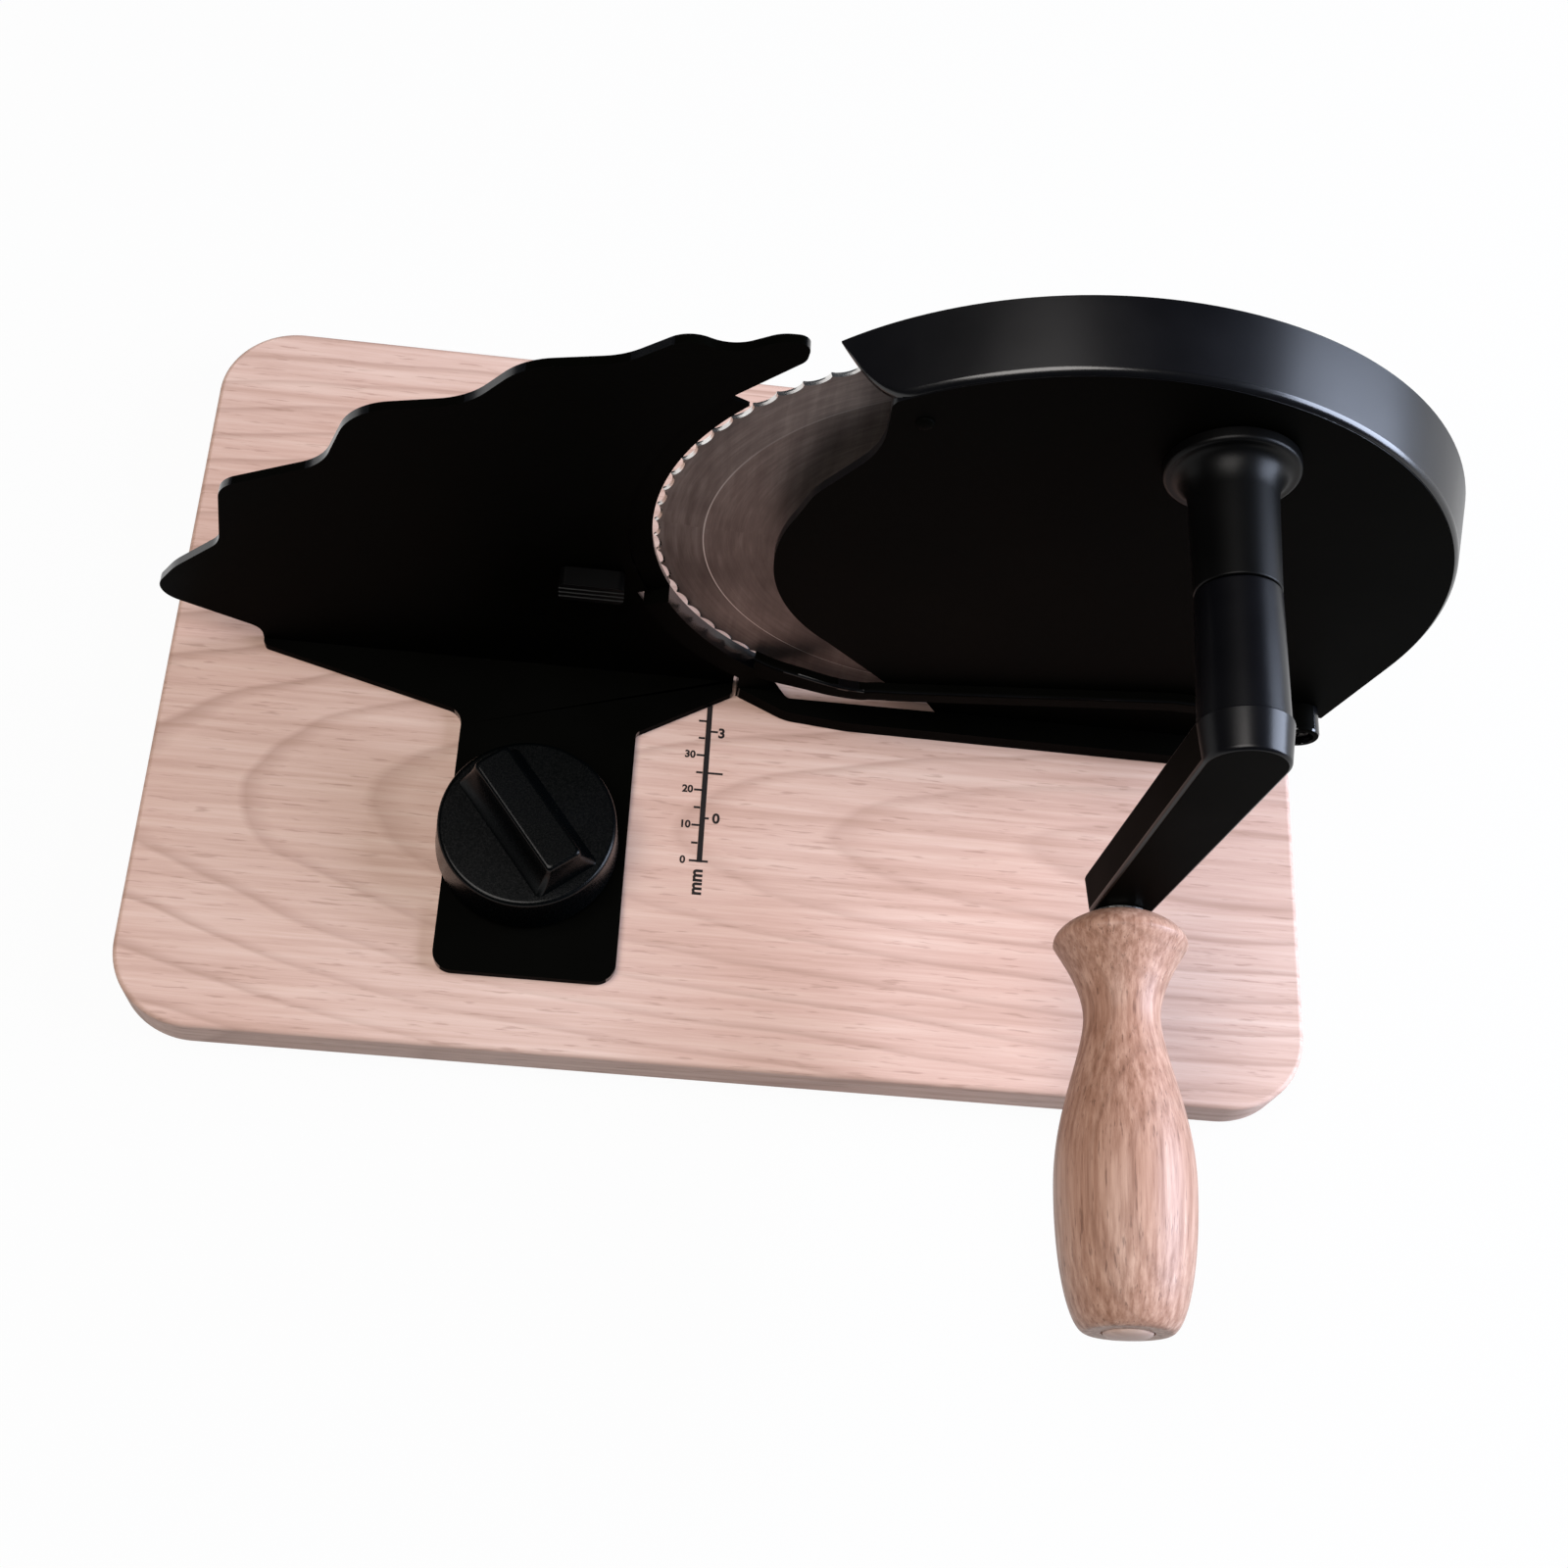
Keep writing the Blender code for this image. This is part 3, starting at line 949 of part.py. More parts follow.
def make_stop(enamel, steel):
    stop_slide = holder("stop_slide", 0, 0, 0)
    foot = BOARD_TOP + SEAT_GAP
    back = STOP_FRONT + STOP_THICKNESS
    lip_inner = BLADE_RADIUS + STOP_LIP_GAP
    plate_inner = BLADE_RADIUS + GUARD_GAP + STOP_LIP_WIDTH
    outer_guard = BLADE_RADIUS + GUARD_GAP + ARM_GUARD_WIDTH + GUARD_GAP
    centre = (BLADE_X, BLADE_Z)

    # Plate: a wavy upper edge like a row of fingers, and an arc beside the blade
    arm_start = ARM_GUARD_START - math.radians(1.2)
    inner_arc = arc(centre, plate_inner, LIP_ANGLE, arm_start, math.radians(6))
    low_end = math.pi + math.acos((BLADE_X - WING_RIGHT) / outer_guard)
    guard_arc = arc(centre, outer_guard, arm_start, low_end, math.radians(6))
    tip = BLADE_RADIUS + FINGER_REACH
    tip_x = BLADE_X + tip * math.cos(FINGER_ANGLE)
    tip_rise = BLADE_Z + tip * math.sin(FINGER_ANGLE) - BOARD_TOP
    span = tip_x - STOP_LEFT

    # Crests and hollows, as shares of the way to the finger's tip, with their radii
    crests = [(-0.006, 0.150, 10), (0.045, 0.235, 30), (0.130, 0.328, 12), (0.150, 0.494, 10),
              (0.315, 0.585, 18), (0.366, 0.731, 20), (0.534, 0.778, 24), (0.612, 0.880, 22),
              (0.749, 0.914, 22), (0.832, 0.984, 9), (0.893, 0.960, 12), (0.955, 0.999, 10),
              (0.997, 1, 4.5), (0.994, 0.962, 4.5)]
    corners = [(STOP_LEFT + span * a, BOARD_TOP + tip_rise * b, r * mm) for a, b, r in crests]
    corners += [(inner_arc[0][0], inner_arc[0][1], 0), (WING_RIGHT, foot, 0),
                (WING_LEFT, foot, 2 * mm), (WING_LEFT, BOARD_TOP + 10 * mm, 6 * mm)]
    wave = rounded(corners)
    split = wave.index((inner_arc[0][0], inner_arc[0][1]))
    outline = wave[:split] + inner_arc + guard_arc + wave[split + 1:]
    plate = piece("stop_plate", prism(outline, "Y", STOP_FRONT, back), enamel, stop_slide)

    # Thin lip that narrows the gap to the teeth
    overlap = 1.5 * mm
    lip = arc(centre, lip_inner, LIP_ANGLE, arm_start, math.radians(6))
    lip += arc(centre, plate_inner + overlap, arm_start, LIP_ANGLE + math.radians(1), math.radians(6))
    combine(plate, prism(lip, "Y", back - STOP_LIP_THICKNESS, back - 0.05 * mm), "UNION")

    # Shoe on the board with a wing on either side
    shoe = [(WING_LEFT, STOP_FRONT + 1 * mm, 0), (WING_LEFT, 2 * mm, 4 * mm),
            (SHOE_LEFT, -WING_DEPTH + 2 * mm, 6 * mm), (SHOE_LEFT, SHOE_FRONT, SHOE_CORNER),
            (SHOE_RIGHT, SHOE_FRONT, SHOE_CORNER), (SHOE_RIGHT, -WING_DEPTH, 2 * mm),
            (WING_RIGHT, 0, 1 * mm), (WING_RIGHT, STOP_FRONT + 1 * mm, 0)]
    combine(plate, prism(rounded(shoe), "Z", foot + 0.05 * mm, foot + SHOE_THICKNESS), "UNION")
    bolt_bore = BOLT_RADIUS + SEAT_GAP
    bolt_hole = turned([(bolt_bore, foot - 1 * mm), (bolt_bore, foot + SHOE_THICKNESS + 1 * mm)],
                       "Z", 20, (CLAMP_X, CLAMP_Y))

    # Ribbed catch on the plate's face beside the guard arm's end
    arm_outer = BLADE_RADIUS + GUARD_GAP + ARM_GUARD_WIDTH
    catch_right = BLADE_X + arm_outer * math.cos(ARM_GUARD_START) - CATCH_GAP
    catch_left = catch_right - CATCH_LENGTH
    catch_low = BLADE_Z + arm_outer * math.sin(ARM_GUARD_START) + CATCH_LIFT
    catch_high = catch_low + CATCH_HEIGHT
    front = STOP_FRONT - SEAT_GAP
    catch = [(catch_left, catch_low, 2 * mm), (catch_right, catch_low, 2 * mm),
             (catch_right, catch_high, 2 * mm), (catch_left, catch_high, 2 * mm)]
    block = piece("stop_catch", prism(rounded(catch), "Y", front - 6 * mm, front), enamel, stop_slide)
    grooves = bmesh.new()
    for k in range(3):
        z = catch_low + (k + 1) * (catch_high - catch_low) / 4
        groove = [(front - 5 * mm, z), (front - 8 * mm, z - 1.4 * mm), (front - 8 * mm, z + 1.4 * mm)]
        lofted([[(x, y, height) for y, height in groove]
                for x in (catch_left - 1 * mm, catch_right + 1 * mm)], mesh=grooves)
    combine(block, grooves, "DIFFERENCE")
    catch_middle = (catch_low + catch_high) / 2
    spots = [(catch_left + 5 * mm, catch_middle), (catch_right - 5 * mm, catch_middle)]
    bore = SMALL_SCREW_RADIUS + SEAT_GAP
    rivet = turned([(SMALL_SCREW_RADIUS, front - 2.5 * mm), (SMALL_SCREW_RADIUS, back - SEAT_GAP)],
                   "Y", 12)
    copies("catch_rivet", rivet, steel, "Y", spots, stop_slide)
    combine(block, holes("Y", spots, [(bore, front - 2.8 * mm), (bore, front + 1 * mm)]), "DIFFERENCE")
    holes("Y", spots, [(bore, STOP_FRONT - 1 * mm), (bore, back + 1 * mm)], mesh=bolt_hole)
    combine(plate, bolt_hole, "DIFFERENCE")
    return stop_slide


def make_clamp(stop_slide, black_plastic, steel, brass):
    """Bolt from below the board, washer, and the knob with its threaded insert."""
    shoe_top = BOARD_TOP + SEAT_GAP + SHOE_THICKNESS
    track_low = FOOT_HEIGHT + TRACK_DEPTH - SEAT_GAP - TRACK_THICKNESS
    head_top = track_low - SEAT_GAP
    head_low = head_top - 3 * mm
    spot = (CLAMP_X, CLAMP_Y)
    washer_top = shoe_top + SEAT_GAP + 1 * mm
    knob_low = washer_top + SEAT_GAP
    disc_top = knob_low + KNOB_HEIGHT
    bolt_top = disc_top - 2 * mm
    half_head = BOLT_HEAD / 2
    head = [(CLAMP_X - half_head, CLAMP_Y - half_head, 1 * mm),
            (CLAMP_X + half_head, CLAMP_Y - half_head, 1 * mm),
            (CLAMP_X + half_head, CLAMP_Y + half_head, 1 * mm),
            (CLAMP_X - half_head, CLAMP_Y + half_head, 1 * mm)]
    bolt = piece("clamp_bolt", prism(rounded(head), "Z", head_low, head_top), steel, stop_slide)
    combine(bolt, turned([(BOLT_RADIUS, head_top - 1 * mm), (BOLT_RADIUS, bolt_top)], "Z", 20, spot),
            "UNION")
    bore = BOLT_RADIUS + SEAT_GAP
    washer_low = shoe_top + SEAT_GAP
    piece("clamp_washer", turned([(bore, washer_low), (WASHER_RADIUS, washer_low),
                                  (WASHER_RADIUS, washer_top), (bore, washer_top)],
                                 "Z", 28, spot, hollow=True), steel, stop_slide)

    knob_axis = holder("knob_axis", CLAMP_X, CLAMP_Y, 0, stop_slide)
    insert_radius = BOLT_RADIUS + 3 * mm
    rim = KNOB_RADIUS - KNOB_DRAFT
    disc = turned([(KNOB_RADIUS - 0.8 * mm, knob_low), (KNOB_RADIUS, knob_low + 0.8 * mm),
                   (rim, disc_top - 1.2 * mm), (rim - 0.4 * mm, disc_top - 0.4 * mm),
                   (rim - 1.4 * mm, disc_top)], "Z", 40)
    knob = piece("clamp_knob", disc, black_plastic, knob_axis)
    half_length = GRIP_LENGTH / 2
    half_width = GRIP_WIDTH / 2
    grip_top = disc_top + GRIP_HEIGHT
    cos, sin = math.cos(GRIP_ANGLE), math.sin(GRIP_ANGLE)
    sections = []
    for z, share, inset in ((disc_top - 0.8 * mm, 1, 0), (disc_top + 0.3 * GRIP_HEIGHT, 0.5, 0),
                            (disc_top + 0.65 * GRIP_HEIGHT, 0.16, 0), (grip_top - 0.8 * mm, 0, 0),
                            (grip_top, 0, 0.8 * mm)):
        a = half_length + 0.4 * GRIP_FLARE * share - inset
        b = half_width + GRIP_FLARE * share - inset
        corners = [(-a, -b, 2 * mm), (a, -b, 2 * mm), (a, b, 2 * mm), (-a, b, 2 * mm)]
        sections.append([(x * cos - y * sin, x * sin + y * cos, z)
                         for x, y in rounded(corners, math.radians(45))])
    combine(knob, lofted(sections), "UNION")
    socket = insert_radius + SEAT_GAP
    combine(knob, turned([(socket, knob_low - 1 * mm), (socket, bolt_top + 1 * mm)], "Z", 24),
            "DIFFERENCE")
    insert_top = bolt_top + 0.5 * mm
    piece("knob_insert", turned([(bore, knob_low), (insert_radius, knob_low),
                                 (insert_radius, insert_top), (bore, insert_top)],
                                "Z", 24, hollow=True), brass, knob_axis)


def stand_over_origin():
    """Moves the whole slicer until the origin is on the worktop below the middle of its box."""
    bpy.context.view_layer.update()
    view = bpy.context.evaluated_depsgraph_get()
    corners = []
    for thing in bpy.data.objects:
        if thing.type == "MESH" and not thing.hide_render:
            shown = thing.evaluated_get(view)
            corners += [shown.matrix_world @ Vector(corner) for corner in shown.bound_box]
    middle_x = (min(c.x for c in corners) + max(c.x for c in corners)) / 2
    middle_y = (min(c.y for c in corners) + max(c.y for c in corners)) / 2
    for thing in bpy.data.objects:
        if thing.parent is None:
            thing.location.x -= middle_x
            thing.location.y -= middle_y


def build():
    clear_scene()
    beech = material("beech", (0.80, 0.62, 0.44), 0.55)
    pale_beech = material("pale_beech", (0.86, 0.71, 0.53), 0.55)
    enamel = material("black_enamel", (0.012, 0.013, 0.016), 0.35)
    rubber = material("grey_rubber", (0.05, 0.05, 0.05), 0.8)
    steel = material("bright_steel", (0.62, 0.61, 0.60), 0.3, 1.0)
    dark_steel = material("dark_steel", (0.32, 0.32, 0.33), 0.35, 1.0)
    blade_steel = material("ground_steel", (0.40, 0.35, 0.32), 0.38, 1.0)
    nylon = material("white_nylon", (0.75, 0.74, 0.70), 0.5)
    bronze = material("bearing_bronze", (0.55, 0.36, 0.17), 0.4, 1.0)
    brass = material("brass", (0.70, 0.52, 0.24), 0.35, 1.0)
    black_plastic = material("black_plastic", (0.015, 0.016, 0.02), 0.4)

    board = make_board(beech, rubber, steel)
    make_housing(board, enamel, steel)
    make_guard(board, enamel, steel)
    make_blade(blade_steel, nylon, bronze, dark_steel)
    nose = make_crank_bearing(enamel, steel, bronze)
    make_crank(nose, enamel, steel, nylon, beech, pale_beech)
    stop_slide = make_stop(enamel, steel)
    make_clamp(stop_slide, black_plastic, steel, brass)
    stand_over_origin()


build()
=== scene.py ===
import math

import bmesh
import bpy
from mathutils import Matrix, Vector


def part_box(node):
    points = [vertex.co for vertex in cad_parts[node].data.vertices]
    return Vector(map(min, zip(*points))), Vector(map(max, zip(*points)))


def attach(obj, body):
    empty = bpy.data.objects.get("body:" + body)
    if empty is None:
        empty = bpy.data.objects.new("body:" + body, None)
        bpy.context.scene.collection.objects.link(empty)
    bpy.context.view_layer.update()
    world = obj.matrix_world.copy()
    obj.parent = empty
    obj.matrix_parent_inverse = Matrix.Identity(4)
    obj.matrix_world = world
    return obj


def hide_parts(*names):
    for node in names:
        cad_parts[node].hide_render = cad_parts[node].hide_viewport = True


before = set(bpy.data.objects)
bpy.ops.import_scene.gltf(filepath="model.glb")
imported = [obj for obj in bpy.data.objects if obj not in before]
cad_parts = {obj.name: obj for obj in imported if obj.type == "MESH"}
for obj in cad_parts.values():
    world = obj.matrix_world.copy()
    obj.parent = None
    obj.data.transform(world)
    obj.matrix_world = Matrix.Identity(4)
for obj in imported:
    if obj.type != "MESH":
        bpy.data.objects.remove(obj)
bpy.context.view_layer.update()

print("frame loaded:", len(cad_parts), "nodes")

# Pieces are drawn in millimetres from the point of the worktop below the board's middle
mm = 0.001
boardLow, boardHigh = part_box("base_board")
middleX = (boardLow.x + boardHigh.x) / 2
middleY = (boardLow.y + boardHigh.y) / 2
drawing = Matrix.Translation((middleX, middleY, 0)) @ Matrix.Scale(mm, 4)
boardTop = 20.0
seatGap = 0.3
footLevel = boardTop + seatGap         # what stands on the board begins here


def spot(x, y, z):
    return drawing @ Vector((x, y, z))


def nodeSpot(node):                    # a node's middle in drawing millimetres
    low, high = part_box(node)
    middle = (low + high) / 2
    return ((middle.x - middleX) / mm, (middle.y - middleY) / mm, middle.z / mm)


# Node helpers; colours are sRGB

def linear(hexColour):
    channels = [int(hexColour[k:k + 2], 16) / 255 for k in (1, 3, 5)]
    return tuple(c / 12.92 if c <= 0.04045 else ((c + 0.055) / 1.055) ** 2.4 for c in channels) + (1.0,)


def addNode(tree, kind, inputs=None, **settings):      # an input is a value or the socket it comes from
    node = tree.nodes.new(kind)
    for key, value in settings.items():
        setattr(node, key, value)
    for key, value in (inputs or {}).items():
        if isinstance(value, bpy.types.NodeSocket):
            tree.links.new(value, node.inputs[key])
        else:
            node.inputs[key].default_value = value
    return node


def calc(tree, operation, *values):
    return addNode(tree, "ShaderNodeMath", dict(enumerate(values)), operation=operation).outputs[0]


def length(tree, vector):
    return addNode(tree, "ShaderNodeVectorMath", {0: vector}, operation="LENGTH").outputs["Value"]


def noise(tree, vector, scale, detail, roughness=0.5):
    return addNode(tree, "ShaderNodeTexNoise", {"Vector": vector, "Scale": scale, "Detail": detail,
                                                "Roughness": roughness}).outputs["Fac"]


def mixed(tree, factor, first, second, data="RGBA", blend="MIX"):
    return addNode(tree, "ShaderNodeMix", {"Factor": factor, "A": first, "B": second},
                   data_type=data, blend_type=blend).outputs["Result"]


def stretched(tree, vector, scale):
    return addNode(tree, "ShaderNodeMapping", {"Scale": scale, "Vector": vector}).outputs["Vector"]


def ramp(tree, source, *stops):
    node = addNode(tree, "ShaderNodeValToRGB", {"Fac": source})
    marks = node.color_ramp.elements
    while len(marks) < len(stops):
        marks.new(0.5)
    for mark, (place, colour) in zip(marks, stops):
        mark.position = place
        mark.color = linear(colour) if isinstance(colour, str) else (colour, colour, colour, 1)
    return node.outputs["Color"]


def startMaterial(name, shaderValues, centre=(0, 0, 0)):
    material = bpy.data.materials.new(name)
    material.use_nodes = True
    tree = material.node_tree
    shader = tree.nodes["Principled BSDF"]
    for key, value in shaderValues.items():
        shader.inputs[key].default_value = value
    coordinates = addNode(tree, "ShaderNodeTexCoord")
    place = addNode(tree, "ShaderNodeVectorMath", {0: coordinates.outputs["Object"], 1: centre},
                    operation="SUBTRACT")
    return material, tree, shader, place.outputs[0]


def dress(tree, shader, colour, roughness, height, distance, strength):
    bumps = addNode(tree, "ShaderNodeBump", {"Strength": strength, "Distance": distance, "Height": height})
    sources = {"Base Color": colour, "Roughness": roughness, "Normal": bumps.outputs["Normal"]}
    for key, source in sources.items():
        tree.links.new(source, shader.inputs[key])


# Materials

def sandedBeech(name, look, centre, along):
    # Beech, sanded and oiled: matt, with growth rings as faint darker lines and short fine flecks
    material, tree, shader, place = startMaterial(name, {"Specular IOR Level": 0.3}, centre)

    def drawnOut(share):               # place with its measure along the grain shortened to this share
        return stretched(tree, place, (share, 1, 1) if along == "X" else (1, share, 1))

    flat, across = (look["flat"], 1.0) if along == "X" else (1.0, look["flat"])
    wander = noise(tree, stretched(tree, place, (flat * 2.0, across, 1.0)), 14.0, 3.0)
    shift = calc(tree, "MULTIPLY", calc(tree, "SUBTRACT", wander, 0.5), look["wander"])
    distance = calc(tree, "ADD", length(tree, drawnOut(look["flat"])), shift)
    share = calc(tree, "FRACT", calc(tree, "MULTIPLY", distance, 1 / look["ringWidth"]))
    rings = ramp(tree, share, (0.0, 0.05), (0.72, 0.1), (0.92, 1.0), (1.0, 0.05))
    patches = ramp(tree, wander, (0.3, 0.35), (0.6, 1.0))
    ringDepth = calc(tree, "MULTIPLY", calc(tree, "MULTIPLY", rings, look["ringDepth"]), patches)
    streaks = noise(tree, drawnOut(0.035), look["streak"], 6.0, 0.65)
    flecks = noise(tree, drawnOut(0.09), look["fleck"], 2.0, 0.6)
    fleckDepth = ramp(tree, flecks, (0.60, 0.0), (0.70, look["fleckDepth"]))
    clouds = ramp(tree, noise(tree, place, 9.0, 2.0), (0.35, look["blush"]), (0.62, "#ffffff"))
    ground = ramp(tree, streaks, (0.32, look["deep"]), (0.5, look["middle"]), (0.68, look["light"]))
    ground = mixed(tree, 0.3, ground, clouds, blend="MULTIPLY")
    lined = mixed(tree, ringDepth, ground, linear(look["ring"]))
    spotted = mixed(tree, fleckDepth, lined, linear(look["ring"]))
    roughness = ramp(tree, streaks, (0.3, look["rough"] + 0.08), (0.7, look["rough"]))
    dress(tree, shader, spotted, roughness, flecks, 0.00008, 0.5)
    return material


def bladeSteel(name, look, centre):
    # Stainless blade, ground in circles and then rubbed across: grey steel with soft streaks, tinted brown by
    # a painted reflection of the beech board
    material, tree, shader, place = startMaterial(name, {"Metallic": 0.8, "Anisotropic": 0.3}, centre)
    parts = addNode(tree, "ShaderNodeSeparateXYZ", {"Vector": place}).outputs
    radius = length(tree, stretched(tree, place, (1, 0, 1)))
    turn = calc(tree, "MULTIPLY", calc(tree, "ARCTAN2", parts["Z"], parts["X"]), 0.004)
    polar = addNode(tree, "ShaderNodeCombineXYZ", {"X": radius, "Y": turn})
    circles = noise(tree, polar.outputs[0], 700.0, 5.0, 0.7)
    slanted = addNode(tree, "ShaderNodeMapping", {"Rotation": (0, math.radians(38), 0), "Scale": (1, 1, 0.1),
                                                  "Vector": place})
    rubbed = noise(tree, slanted.outputs[0], 260.0, 5.0, 0.6)
    marks = mixed(tree, 0.45, circles, rubbed, "FLOAT")
    tint = mixed(tree, 0.4, marks, noise(tree, place, 28.0, 3.0), "FLOAT")
    ground = ramp(tree, tint, (0.36, look["deep"]), (0.5, look["middle"]), (0.66, look["light"]))
    # The bevel's inner step gets a painted highlight: a thin bright line in the colour that fades towards the
    # top
    offset = calc(tree, "ABSOLUTE", calc(tree, "SUBTRACT", radius, look["stepRadius"]))
    line = ramp(tree, calc(tree, "MULTIPLY", offset, 1000.0), (0.12, 0.8), (0.24, 0.0))
    paintedHighlightFade = ramp(tree, calc(tree, "MULTIPLY_ADD", parts["Z"], 8.0, 0.5), (0.35, 1.0), (0.85, 0.1))
    colour = mixed(tree, calc(tree, "MULTIPLY", line, paintedHighlightFade), ground, linear(look["honed"]))
    dress(tree, shader, colour, ramp(tree, marks, (0.3, 0.44), (0.7, 0.58)), marks, 0.00003, 0.4)
    return material


def plainSurface(name, kind, look):    # a broad change of colour with a fine grain over it
    values = {"Metallic": kind["metallic"], "Specular IOR Level": look.get("specular", 0.5)}
    material, tree, shader, place = startMaterial(name, values)
    fine = noise(tree, place, *kind["fine"])
    broad = noise(tree, place, *kind["broad"])
    colour = ramp(tree, broad, (0.35, look["deep"]), (kind["lightAt"], look["light"]))
    smoother, rougher = kind["spread"]
    roughness = ramp(tree, broad if kind["roughByBroad"] else fine, (0.3, look["rough"] - smoother),
                     (0.7, look["rough"] + rougher))
    dress(tree, shader, colour, roughness, fine, *kind["bump"])
    return material


# Castings with black stoved enamel: almost no colour, a satin gloss, and a fine orange peel
enamelKind = {"metallic": 0.0, "fine": (900.0, 2.0), "broad": (24.0, 4.0), "lightAt": 0.7,
              "roughByBroad": True, "spread": (0.04, 0.05), "bump": (0.00002, 0.35)}
# Turned or rolled metal with fine tool marks: a soft sheen that breaks up in places
metalKind = {"metallic": 1.0, "fine": (1400.0, 3.0), "broad": (90.0, 4.0), "lightAt": 0.65,
             "roughByBroad": False, "spread": (0.06, 0.08), "bump": (0.00001, 0.3)}
# Moulded plastic or rubber: one colour right through, with a fine spark-eroded grain
plasticKind = {"metallic": 0.0, "fine": (1600.0, 2.0), "broad": (40.0, 3.0), "lightAt": 0.65,
               "roughByBroad": False, "spread": (0.04, 0.06), "bump": (0.00002, 0.3)}

boardLook = {"flat": 0.2, "ringWidth": 0.0085, "wander": 0.014, "streak": 330.0, "fleck": 900.0,
             "ringDepth": 0.48, "fleckDepth": 0.42, "rough": 0.52, "deep": "#b9998a", "middle": "#c7a89a",
             "light": "#d1b6a8", "blush": "#e4c6b6", "ring": "#8c6a5a"}
handleLook = {"flat": 0.05, "ringWidth": 0.0045, "wander": 0.006, "streak": 620.0, "fleck": 1300.0,
              "ringDepth": 0.3, "fleckDepth": 0.6, "rough": 0.4, "deep": "#8c6552", "middle": "#a8826f",
              "light": "#c09c89", "blush": "#dcbcab", "ring": "#67473a"}
plugLook = {"flat": 0.1, "ringWidth": 0.003, "wander": 0.004, "streak": 420.0, "fleck": 900.0,
            "ringDepth": 0.3, "fleckDepth": 0.25, "rough": 0.5, "deep": "#c4a79a", "middle": "#d2b8ab",
            "light": "#dfc9bc", "blush": "#e6cbbd", "ring": "#9d7b6c"}
faceLook = {"specular": 0.012, "deep": "#020201", "light": "#040403", "rough": 0.55}
castLook = {"specular": 0.22, "deep": "#030305", "light": "#07070a", "rough": 0.3}
ribLook = {"specular": 0.12, "deep": "#020202", "light": "#040404", "rough": 0.4}
enamelLook = {"specular": 0.5, "deep": "#020203", "light": "#050507", "rough": 0.2}
knobLook = {"specular": 0.14, "deep": "#020303", "light": "#040506", "rough": 0.24}
rubberLook = {"specular": 0.3, "deep": "#232323", "light": "#2f2e2e", "rough": 0.75}
nylonLook = {"specular": 0.4, "deep": "#cfccc3", "light": "#e0ddd4", "rough": 0.5}
inkLook = {"specular": 0.2, "deep": "#120d0c", "light": "#1d1614", "rough": 0.6}
# The blade's "honed" colour is the painted highlight along its bevel step.
# The blade's deep, middle and light colours hold a painted brown reflection of the beech board.
bladeLook = {"deep": "#4a4240", "middle": "#685e5b", "light": "#8b817d", "honed": "#e9e5e2",
             "stepRadius": 0.0790}
bladeAxis = axisX, axisZ = 59.5, 114.5
crankAxis = crankX, crankZ = 107.5, 189.5

boardBeech = sandedBeech("sandedBeech", boardLook, spot(168, -44, -2), "X")
handleBeech = sandedBeech("turnedBeech", handleLook, spot(96, -150, 84), "Y")
plugBeech = sandedBeech("plugBeech", plugLook, spot(103, -204, 90), "X")
enamel = plainSurface("blackStovedEnamel", enamelKind, enamelLook)
mattEnamel = plainSurface("mattBlackEnamel", enamelKind, faceLook)
castEnamel = plainSurface("castBlackEnamel", enamelKind, castLook)
ribEnamel = plainSurface("ribbedBlackEnamel", enamelKind, ribLook)
phenolic = plainSurface("blackPhenolic", plasticKind, knobLook)
rubber = plainSurface("greyRubber", plasticKind, rubberLook)
nylon = plainSurface("whiteNylon", plasticKind, nylonLook)
ink = plainSurface("printedInk", plasticKind, inkLook)
groundSteel = bladeSteel("groundBladeSteel", bladeLook, spot(axisX, 5, axisZ))
honedSteel = plainSurface("honedEdge", metalKind, {"deep": "#c9c4c1", "light": "#efedeb", "rough": 0.22})
zincSteel = plainSurface("zincPlatedSteel", metalKind, {"deep": "#8f8f8e", "light": "#b4b3b0", "rough": 0.32})
turnedSteel = plainSurface("turnedSteel", metalKind, {"deep": "#5f5e5e", "light": "#7d7b79", "rough": 0.3})
bronze = plainSurface("sinteredBronze", metalKind, {"deep": "#8d6a3f", "light": "#ab8450", "rough": 0.42})
brass = plainSurface("turnedBrass", metalKind, {"deep": "#a98545", "light": "#c9a560", "rough": 0.34})
print("finishes ready")


# Outlines in millimetres: X and Z for a piece along Y, X and Y for one along Z

def axisPoint(axis, a, b, along):
    return (a, along, b) if axis == "Y" else (a, b, along)


def direction(degrees):                # cosine and sine
    return math.cos(math.radians(degrees)), math.sin(math.radians(degrees))


def curve(centre, across, up, start, end, count):      # part of an ellipse
    ways = [direction(start + (end - start) * k / count) for k in range(count + 1)]
    return [(centre[0] + across * cos, centre[1] + up * sin) for cos, sin in ways]


def arc(centre, radius, start, end, step=2.0):
    return curve(centre, radius, radius, start, end, max(1, math.ceil(abs(end - start) / step)))


def rounded(corners, step=7.0):        # corners as (a, b, radius), each rounded as its sides allow
    points = []
    for k, (a, b, radius) in enumerate(corners):
        corner = Vector((a, b))
        before = Vector(corners[k - 1][:2]) - corner
        after = Vector(corners[(k + 1) % len(corners)][:2]) - corner
        half = before.angle(after) / 2
        if radius == 0 or half > math.radians(89):
            points.append((a, b))
            continue
        reach = min(radius / math.tan(half), 0.48 * before.length, 0.48 * after.length)
        middle = (before.normalized() + after.normalized()).normalized()
        centre = corner + middle * (reach / math.cos(half))
        first = corner + before.normalized() * reach - centre
        turn = math.pi - 2 * half
        sign = 1 if before.x * after.y - before.y * after.x < 0 else -1
        count = max(1, math.ceil(math.degrees(turn) / step))
        for j in range(count + 1):
            cos, sin = math.cos(turn * j / count), sign * math.sin(turn * j / count)
            points.append((centre.x + first.x * cos - first.y * sin,
                           centre.y + first.x * sin + first.y * cos))
    return points


def oblong(left, right, low, high, radius=0, step=7.0):
    return rounded([(left, low, radius), (right, low, radius), (right, high, radius), (left, high, radius)],
                   step)


# Meshes from outlines

